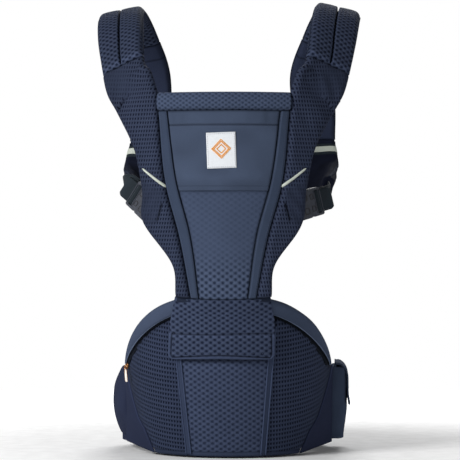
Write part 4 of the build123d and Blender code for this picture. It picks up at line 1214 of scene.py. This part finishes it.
half_way = spread(22, 0.85)
CHANNEL_U = np.concatenate([-half_way[::-1], half_way[1:]])  # columns close together at both edges and the groove
for side in SIGN:
    left_hand = side == "left"
    grid = strap_grid(strap_seam, BACK_FROM, CHANNEL_U, 120, ARCH_BOW)
    u = CHANNEL_U[None]
    open_end = ease((grid.low - 2 * MM) / 0.003)
    channel = groove(u, 0.030) * open_end
    hump = np.sqrt(np.clip(1 - (np.abs(u) * 2 - 1) ** 2 * 0.6, 0, 1))
    thick = STRAP_T / 2 * roll(grid.sides, 8 * MM) * roll(grid.ends, 6 * MM, 0.55) * (0.70 + 0.30 * hump)
    rumple = 0.4 * MM * mottle(grid.across, grid.along, 12 * MM, 61) * ease(grid.sides / 0.006)
    rise = thick * (1 - 0.85 * channel) + rumple
    shade = -0.95 * groove(u, 0.022) * open_end
    shade = shade + 0.45 * groove(grid.low - 5 * MM, 4.5 * MM) - 0.5 * groove(grid.low, 1.0 * MM)
    shade = shade - 0.35 * groove(grid.high - 0.014, 1.2 * MM) - 0.20 * groove(grid.sides, 3 * MM)
    piece = pad(f"strap_arch_pad_{side}", grid, np.maximum(rise, THIN), thick * 0.9, SHADED_STRAP_MESH, shade, left_hand)
    place_soft(settled(piece), 0.7, "panel", "navy_mesh", f"strap_arch_{side}")

    columns = both_ways(36, 0.6)
    grid = strap_grid(lambda u: BACK_FROM + 0 * u, TAIL_FROM, columns, 90)
    thick = STRAP_T / 2 * roll(grid.sides, 7 * MM) * roll(grid.ends, 5 * MM, 0.55)
    cross = groove(grid.low - 0.026, 1.4 * MM) + groove(grid.low - 0.110, 1.4 * MM)
    soft = 0.5 * MM * mottle(grid.across, grid.along, 18 * MM, 66) * ease(grid.sides / 0.006)
    shade = -0.5 * cross - 0.25 * groove(grid.sides, 3 * MM) - 0.5 * groove(grid.low, 1.2 * MM)
    rise, sink = (np.maximum(thick + soft - depth * cross, THIN) for depth in (1.5 * MM, 1.2 * MM))
    piece = pad(f"strap_back_pad_{side}", grid, rise, sink, BACK_WOVEN, shade, left_hand)
    place_soft(settled(piece), 0.7, "panel", "navy_mesh", f"strap_back_{side}")

    grid = strap_grid(lambda u: TAIL_FROM + 0 * u, STRAP_END, columns, 90)
    thick = STRAP_T / 2 * roll(grid.sides, 7 * MM) * roll(grid.ends, 9 * MM, 0.45)
    creases = 0.9 * MM * mottle(grid.across, grid.along * 1.4, 13 * MM, 71) * ease(grid.sides / 0.006)
    # The darker tail cloth paints the tail's shade, and its shade mark paints highlights on raised creases.
    piece = pad(f"strap_tail_pad_{side}", grid, thick + creases, thick, SHADED_TAIL_WOVEN, 0.25 * creases / MM, left_hand)
    place_soft(settled(piece), 0.7, "panel", "navy_woven", f"strap_tail_{side}")

    trims = []
    flip = (SIGN[side], 1, 1)
    for first, last, bow in (
        (ARCH_FROM + 0.02, BACK_FROM - 0.05, ARCH_BOW),
        (BACK_FROM + 0.05, TAIL_FROM - 0.05, 0),
        (TAIL_FROM + 0.05, STRAP_END - 0.05, 0),
    ):
        centre, across, normal, half = strap_frame(np.linspace(first, last, 70))
        for edge in (-1, 1):
            path = (centre + across * (half * edge)[:, None] - normal * bow) * flip
            trims.append(sweep("binding", path, normal * flip, round_section(1.2 * MM, 1.9), BINDING, shade=-0.45))
    place(settled(join(f"strap_binding_{side}", trims)), "panel", "navy_woven")


def tail_ring(name, first, last, proud, material):
    """A flat band all round both tails, between two station numbers."""
    rings = []
    for sign in SIGN.values():
        t = np.linspace(TAIL_FROM + first, TAIL_FROM + last, 10)
        centre, across, normal, half = strap_frame(t)
        turn = 2 * np.pi * np.arange(48) / 48
        flat, deep = bulged(np.cos(turn), 0.35), bulged(np.sin(turn), 0.6)
        skin = centre[:, None] + across[:, None] * (half[:, None] + proud)[..., None] * flat[None, :, None]
        skin = (skin + normal[:, None] * (STRAP_T / 2 + proud) * deep[None, :, None]) * (sign, 1, 1)
        metres = np.stack(np.broadcast_arrays(np.linspace(0, 0.15, 49)[None], (t * 0.037)[:, None]), -1)
        faces, corners = ring_faces(skin, metres)
        rings.append(build("ring", skin, faces, corners, material))
    return settled(join(name, rings))


bands = tail_ring("tail_reflective_bands", 0.34, 0.60, 1.7 * MM, REFLECTIVE)
place(bands, "panel", "reflective", "strap_reflectors")
place(tail_ring("tail_webbing_trims", 0.22, 0.74, 1.1 * MM, WEBBING), "panel", "webbing")

# ---- buckles and webbing -------------------------------------------------------------------------------
def side_frame(side):
    """Origin and axes of a side buckle: outwards along the webbing, across it, and away from the wearer."""
    sign, yaw, tilt = SIGN[side], math.asin(BUCKLE_X / BUCKLE_R), math.radians(SIDE_TILT[side])
    origin = np.array([sign * BUCKLE_X, PANEL_AXIS_Y - BUCKLE_R * math.cos(yaw), BUCKLE_Z])
    x = np.array([sign * math.cos(yaw) * math.cos(tilt), math.sin(yaw) * math.cos(tilt), math.sin(tilt)])
    z = np.array([sign * math.sin(yaw), -math.cos(yaw), 0.0])
    return origin, x, np.cross(z, x), z


def buckle_sizes(web):
    """Thickness, mouth, far end of the male base and slot of a buckle for a width of webbing."""
    return 2.5 * MM + 0.27 * web, 0.38 * web, 0.38 * web + 0.62 * web, 0.18 * web


def window(name, place_at, x, y, z, size, tall):
    """A sunk window in a buckle's face: a rounded frame of painted shadow round a lighter plate."""
    turn = np.linspace(0, 2 * np.pi, 29)[:-1, None]
    edge = x * bulged(np.cos(turn), 0.4) * size / 2 + y * bulged(np.sin(turn), 0.4) * tall / 2
    return sweep(name, place_at + edge, z, round_section(0.55 * MM), BUCKLE_PAINTED_SHADOW, closed=True)


def buckle_details(key, frame_at, web, female, male):
    """Windows and grips on both halves of a buckle, riding with their halves."""
    origin, x, y, z = frame_at
    thick, mouth, base_end, slot = buckle_sizes(web)
    face = z * thick / 2
    parts = [
        window("window", origin + face + x * (mouth - 0.24 * web) + y * shift, x, y, z, 0.22 * web, 0.26 * web)
        for shift in (-0.30 * web, 0.30 * web)
    ]
    rib = origin + face + y * np.linspace(-0.42, 0.42, 12)[:, None] * web
    ribs = [
        sweep("rib", rib + x * (-0.50 * web + k * 1.8 * MM), z, round_section(0.5 * MM), BUCKLE) for k in range(3)
    ]
    place(join(f"{key}_female_windows", parts), female, "buckle_plastic")
    place(join(f"{key}_female_ribs", ribs), female, "buckle_plastic")
    low_face = z * (thick / 2 - 1 * MM)
    parts = [
        window("window", origin + low_face + x * (mouth + 0.14 * web) + y * shift, x, y, z, 0.16 * web, 0.22 * web)
        for shift in (-0.27 * web, 0.27 * web)
    ]
    bar = origin + low_face + y * np.linspace(-0.5, 0.5, 14)[:, None] * web
    bars = [
        sweep("bar", bar + x * at, z, round_section(0.8 * MM), BUCKLE)
        for at in (base_end - 4 * MM - slot - 1.0 * MM, base_end - 1.2 * MM)
    ]
    place(join(f"{key}_male_windows", parts), male, "buckle_plastic")
    place(join(f"{key}_male_bars", bars), male, "buckle_plastic")


def slot_shape(start, length, height, count=96):
    """Once round a webbing loop: near end tight, far end fuller, as (along, up), with its outward directions."""
    turn = np.linspace(0, 2 * np.pi, count, endpoint=False)
    along = bulged(np.cos(turn), 0.55)
    fuller = 0.62 + 0.38 * ease((along + 1) / 2)
    up = bulged(np.sin(turn), 0.55) * height / 2 * fuller
    path = np.stack([start + (along + 1) / 2 * length, up], -1)
    tangent = np.roll(path, -1, axis=0) - np.roll(path, 1, axis=0)
    out = np.stack([tangent[:, 1], -tangent[:, 0]], -1)
    return path, unit(out), along


# Webbing of the side buckles. Its run from the strap's tail passes under the male half, clear of where that slides.
LINK_ROUTE = ((85, -62), (66, -28), (50, -15), (36, -12), (24, -10.6), (14, -9.2))  # mm along the buckle and up
SIDE_TAPE = tape_section(SIDE_WEB, WEB_T)
tabs, links = [], []
for side in SIGN:
    origin, x, y, z = side_frame(side)
    thick, mouth, base_end, slot = buckle_sizes(SIDE_WEB)
    buckle_details(f"side_{side}", (origin, x, y, z), SIDE_WEB, "panel", f"side_{side}_male")

    spots, outs, far = slot_shape(base_end - 4 * MM - slot + 1.1 * MM, LOOP_LENGTH - WEB_T, thick + 2.4 * MM - WEB_T)
    path = origin + x * spots[:, :1] + z * spots[:, 1:]
    taper = 1 - 0.16 * ease((far - 0.55) / 0.45)
    loop = sweep(
        f"side_loop_{side}", path, x * outs[:, :1] + z * outs[:, 1:], SIDE_TAPE, WEBBING, closed=True,
        shade=0.15 * ease(far) - 0.1, swell=np.stack([taper, 1 + 0 * taper], -1),
    )
    place(loop, f"side_{side}_male", "webbing", f"side_{side}_loop")

    inward = -0.62 * SIDE_WEB - np.linspace(TAB_LENGTH, 0.3 * MM, 10)[:, None]
    tabs.append(sweep("tab", origin + x * inward + z * 0.9 * MM, z, SIDE_TAPE, WEBBING))

    begin = np.array(STRAP[-1][0]) * (SIGN[side], 1, 1)
    facing = np.cross(np.array(STRAP[-1][1]), (0, -1, 0)) * (SIGN[side], 1, 1)
    facing = unit(facing) * np.sign(facing @ z)
    aside = (begin - origin) @ y
    spots = [origin + x * ahead * MM + z * up * MM + y * aside * ease((ahead - 40) / 75) for ahead, up in LINK_ROUTE]
    t = np.linspace(0, 6, 60)
    facings = through([facing, (facing + z) / 2, z, z, z, z, z], t)
    links.append(sweep("link", through([begin, *spots], t), facings, SIDE_TAPE, WEBBING))
place(join("buckle_tab_pair", tabs), "panel", "webbing", "side_buckle_tabs")
place(join("side_webbing_pair", links), "panel", "webbing", "side_webbing")

axes = np.eye(3)[0], np.eye(3)[2] * -1, np.eye(3)[1]
buckle_details("chest", (np.array([0, 0.120, CHEST_Z]), *axes), CHEST_WEB, "chest_strap", "chest_male")
buckle_details("waist", (np.array([0, 0.1268, WAIST_Z]), *axes), WAIST_WEB, "waist", "waist_male")

chest = []
for x_from, x_to, y in CHEST_RUNS:
    path = np.stack([np.linspace(x_from, x_to, 24), np.full(24, y), np.full(24, CHEST_Z)], -1)
    chest.append(sweep("run", path, (0, 1, 0), tape_section(CHEST_WEB, 1.6 * MM), WEBBING))
place(join("chest_webbing_runs", chest), "chest_strap", "webbing", "chest_webbing")

runs = []
a, b = WAIST_A + BELT_T + 1.2 * MM, WAIST_B + BELT_T + 1.2 * MM
for x_from, x_to in ((-0.93 * a, -0.020), (0.034, 0.93 * a)):
    x = np.linspace(x_from, x_to, 60)
    y = b * np.sqrt(1 - (x / a) ** 2)
    out = np.stack([x / a**2, y / b**2, 0 * x], -1)
    path = np.stack([x, y, WAIST_Z + 0 * x], -1)
    runs.append(sweep("run", path, out, tape_section(WAIST_WEB, WEB_T), WEBBING))
place(join("waist_webbing_runs", runs), "waist", "webbing", "waist_webbing")

for name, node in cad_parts.items():
    if ("buckle_" in name and "tabs" not in name) or "prong" in name or name == "chest_sliders":
        soften = node.modifiers.new("edges", "BEVEL")
        soften.width, soften.segments, soften.limit_method = 0.7 * MM, 3, "ANGLE"
        node.data.materials.clear()
        node.data.materials.append(BUCKLE)

# ---- waist belt ----------------------------------------------------------------------------------------
for node, name, cap in (
    ("belt_front_pad", "belly_pad", 3 * MM),
    ("belt_pad_left", "hip_pad_left", 4 * MM),
    ("belt_pad_right", "hip_pad_right", 4 * MM),
    ("lumbar_pad", "lumbar_cushion", 5 * MM),
):
    place_soft(stuffed(name, [node], DEEP_WOVEN, 5 * MM, 2 * MM, cap), 0.7, "waist", "navy_woven", node)

# The belt's own cloth, which runs behind its pads and joins them
turn = np.radians(np.linspace(-BELT_HALF_TURN, BELT_HALF_TURN, 150))[None]
z = (BELT_LOW + spread(20, 0.4) * (BELT_HIGH - BELT_LOW))[:, None]
x, y = (WAIST_A + BELT_T / 2) * np.sin(turn), (WAIST_B + BELT_T / 2) * np.cos(turn)
grid = Grid(np.stack([x + 0 * z, y + 0 * z, z + 0 * turn], -1), 0.13 * turn + 0 * z, z + 0 * turn)
place(pad("belt_cloth", grid, 1.5 * MM * roll(grid.ends, 2 * MM), 1.5 * MM, DEEP_WOVEN), "waist", "navy_woven")

# Left side cover: a stuffed wrap outside the belt, fullest at mid height, with a doubled hem along its foot
z = (COVER_LOW + spread(70, 0.6) * (COVER_HIGH - COVER_LOW))[:, None]
y = (COVER_FRONT_Y + spread(60, 0.7) * (COVER_BACK_Y - COVER_FRONT_Y))[None]
middle_a, middle_b = WAIST_A + 0.022, WAIST_B + 0.022
x = middle_a * np.sqrt(1 - (y / middle_b) ** 2) + 0 * z
grid = Grid(np.stack([x, y + 0 * z, z + 0 * x], -1), y * 1.2 + 0 * z, z + 0 * x)
profile = 14 * MM * np.clip(1 - ((z - 0.068) / 0.052) ** 2, 0, 1)
hems = groove(grid.low - 4.5 * MM, 0.9 * MM) + groove(grid.low - 9 * MM, 0.9 * MM)
creases = 0.9 * MM * mottle(grid.across, grid.along, 24 * MM, 91) * ease(grid.sides / 0.01)
rise = profile * roll(grid.sides, 10 * MM) * roll(grid.ends, 5 * MM, 0.45) + creases * ease(grid.ends / 0.02)
rise = np.maximum(rise - 1.0 * MM * hems, 0.5 * MM)
shade = -0.35 * hems - 0.25 * groove(grid.sides, 4 * MM) + 0.12 * creases / MM
side_cover = pad("belt_side_cover", grid, rise, 6.5 * MM, DEEP_WOVEN, shade, True)
place_soft(side_cover, 0.6, "waist", "navy_woven", "side_cover_left")


def pocket_shape(points, normals):
    """Draws the pocket in towards its foot and rumples its cloth."""
    drawn_in = 4.5 * MM * ease((0.060 - points[:, 2]) / 0.045) * ease((points[:, 0] - 0.150) / 0.020)
    rumple = 0.8 * MM * mottle(points[:, 1] + points[:, 0] * 2, points[:, 2], 20 * MM, 83)
    return points - np.array([1, 0, 0]) * drawn_in[:, None] + normals * rumple[:, None]


pocket_body = stuffed(
    "belt_pocket", ["side_pocket_right"], STRIP_WOVEN, 4 * MM, 0.3 * MM, 1.5 * MM, shape=pocket_shape
)
place_soft(pocket_body, 0.3, "waist", "navy_woven", "side_pocket_right")

# Pocket flap: a thin sheet over the pocket's mouth, down its outside and flared a little at its foot
low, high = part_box("pocket_flap")
route = [(low[0], high[2] - 1.4 * MM), (low[0] + 6 * MM, high[2] - 1.6 * MM), *POCKET_FLAP_DROP]
line = through(route, spread(60, 0.3) * (len(route) - 1))
length = run_length(line)
y = low[1] + spread(44, 0.7)[None] * (high[1] - low[1])
shape = np.stack([line[:, :1] + 0 * y, y + 0 * line[:, :1], line[:, 1:] + 0 * y], -1)
grid = Grid(shape, y + 0 * length[:, None], length[:, None] + 0 * y)
edge = np.minimum(grid.sides, grid.high)
curl = 1.6 * MM * mottle(grid.across, grid.along * 0.5, 22 * MM, 81) * ease((grid.low - 0.02) / 0.03)
hem = groove(edge - 5 * MM, 0.8 * MM)
thin = 1.2 * MM * roll(edge, 1.2 * MM) + 0.2 * MM
pocket_flap = pad(
    "pocket_flap_cloth", grid, thin + np.maximum(curl, 0) - 0.3 * MM * hem, thin - np.maximum(curl, 0) * 0.9,
    STRIP_WOVEN, -0.35 * hem - 0.1,
)
place(pocket_flap, "pocket_flap", "navy_woven", "pocket_flap")

# Woven tape between the flap's hinge and the pocket's inner wall
y = np.linspace(low[1] + 1 * MM, high[1] - 1 * MM, 24)
hinge_line = np.stack([0 * y + low[0] - 0.6 * MM, y, 0 * y + high[2] - 3 * MM], -1)
hinge_tape = sweep("pocket_hinge_tape", hinge_line, (1, 0, 0), tape_section(8 * MM, 1.8 * MM), STRIP_WOVEN)
place(hinge_tape, "waist", "navy_woven")

# ---- seams ---------------------------------------------------------------------------------------------
z = np.linspace(SEAM_Z + 5 * MM, BAND_LOW - 4 * MM, 90)
runs = []
for sign in (-1, 1):
    for edge, shift in ((strip_in, 2.6 * MM), (strip_out, -2.6 * MM)):
        runs.append(on_surface(strip_pair, bent(sign * (edge(z) + shift), z, PANEL_R + 4 * MM), (0, -1, 0)))
stitches("strip_stitches", runs, "panel", "navy_woven")

runs = []
x = np.linspace(-1, 1, 60)
for shift in (-1.6 * MM, 1.6 * MM):
    line_z = POCKET_HEM + shift + 0 * x
    runs.append(on_surface(pocket, bent(x * (strip_in(line_z) - 5 * MM), line_z, PANEL_R + 8 * MM), (0, -1, 0)))
stitches("pocket_hem_stitches", runs, "panel", "navy_woven")

half = 0.0735 - 6 * MM
box_line = [(-half, FLAP_BOX), (-half - 0.5 * MM, FLAP_LOW + 12 * MM), (-half + 4 * MM, FLAP_LOW + 7.6 * MM)]
box_line += [(-x, z) for x, z in box_line[::-1]]
box_x, box_z = (np.interp(np.linspace(0, 5, 120), np.arange(6), axis) for axis in np.array(box_line).T)
box_x = box_x + flap_lean(box_z)
stitches("flap_box_stitches", [on_surface(flap, on_seat(box_x, box_z, 10 * MM), (0, -1, 0))], "flap", "navy_woven")

# ---- stage, light and camera ---------------------------------------------------------------------------
floor_radius, rings, spokes = 1.2, 24, 96
turn = np.linspace(0, 2 * np.pi, spokes + 1)[:-1]
radii = np.linspace(0, floor_radius, rings + 1)[1:]
points = [(0.0, 0.0, FLOOR_Z)] + [(r * math.cos(a), r * math.sin(a), FLOOR_Z) for r in radii for a in turn]
faces = [[0, 1 + k, 1 + (k + 1) % spokes] for k in range(spokes)]
for first in range(1, 1 + (rings - 1) * spokes, spokes):
    after = [(k, (k + 1) % spokes) for k in range(spokes)]
    faces += [[first + k, first + spokes + k, first + spokes + j, first + j] for k, j in after]
floor = build("floor", points, faces, [np.array([points[k][:2] for k in face]) for face in faces], FLOOR)

scene = bpy.context.scene
scene.view_settings.view_transform = "Standard"
world = bpy.data.worlds.new("studio")
world.use_nodes = True
nodes, links = world.node_tree.nodes, world.node_tree.links
surround, ambient = nodes["Background"], nodes.new("ShaderNodeBackground")
surround.inputs["Strength"].default_value, ambient.inputs["Strength"].default_value = 1.0, AMBIENT
surround.inputs["Color"].default_value = ambient.inputs["Color"].default_value = (1, 1, 1, 1)
seen, either = nodes.new("ShaderNodeLightPath"), nodes.new("ShaderNodeMixShader")
links.new(seen.outputs["Is Camera Ray"], either.inputs[0])
links.new(ambient.outputs[0], either.inputs[1])
links.new(surround.outputs[0], either.inputs[2])
links.new(either.outputs[0], nodes["World Output"].inputs["Surface"])
scene.world = world


def area_light(name, place_at, aim, size, power):
    """A rectangular light that faces a point."""
    light = bpy.data.lights.new(name, "AREA")
    light.shape, light.size, light.size_y, light.energy = "RECTANGLE", size[0], size[1], power
    lamp = bpy.data.objects.new(name, light)
    lamp.location = place_at
    lamp.rotation_euler = (Vector(aim) - Vector(place_at)).to_track_quat("-Z", "Y").to_euler()
    scene.collection.objects.link(lamp)


area_light("key", (-2.1, -2.2, 1.6), (0, 0, 0.35), (1.1, 1.1), KEY_POWER)
area_light("fill", (1.8, -1.8, 0.9), (0, 0, 0.3), (1.4, 1.4), FILL_POWER)
area_light("back", (0.2, 2.2, 1.8), (0, 0, 0.3), (1.5, 1.0), BACK_POWER)

lens = bpy.data.cameras.new("camera")
lens.sensor_width = 36.0
lens.lens = lens.sensor_width * CAMERA_DISTANCE / VIEW_WIDTH
camera = bpy.data.objects.new("camera", lens)
right = Vector((math.cos(CAMERA_AZIMUTH), math.sin(CAMERA_AZIMUTH), 0))
back = Vector((math.sin(CAMERA_AZIMUTH), -math.cos(CAMERA_AZIMUTH), 0))
camera.location = back * CAMERA_DISTANCE + Vector((0, 0, CAMERA_HEIGHT)) - right * CAMERA_ASIDE
camera.rotation_euler = (-back).to_track_quat("-Z", "Y").to_euler()
scene.collection.objects.link(camera)
scene.camera = camera
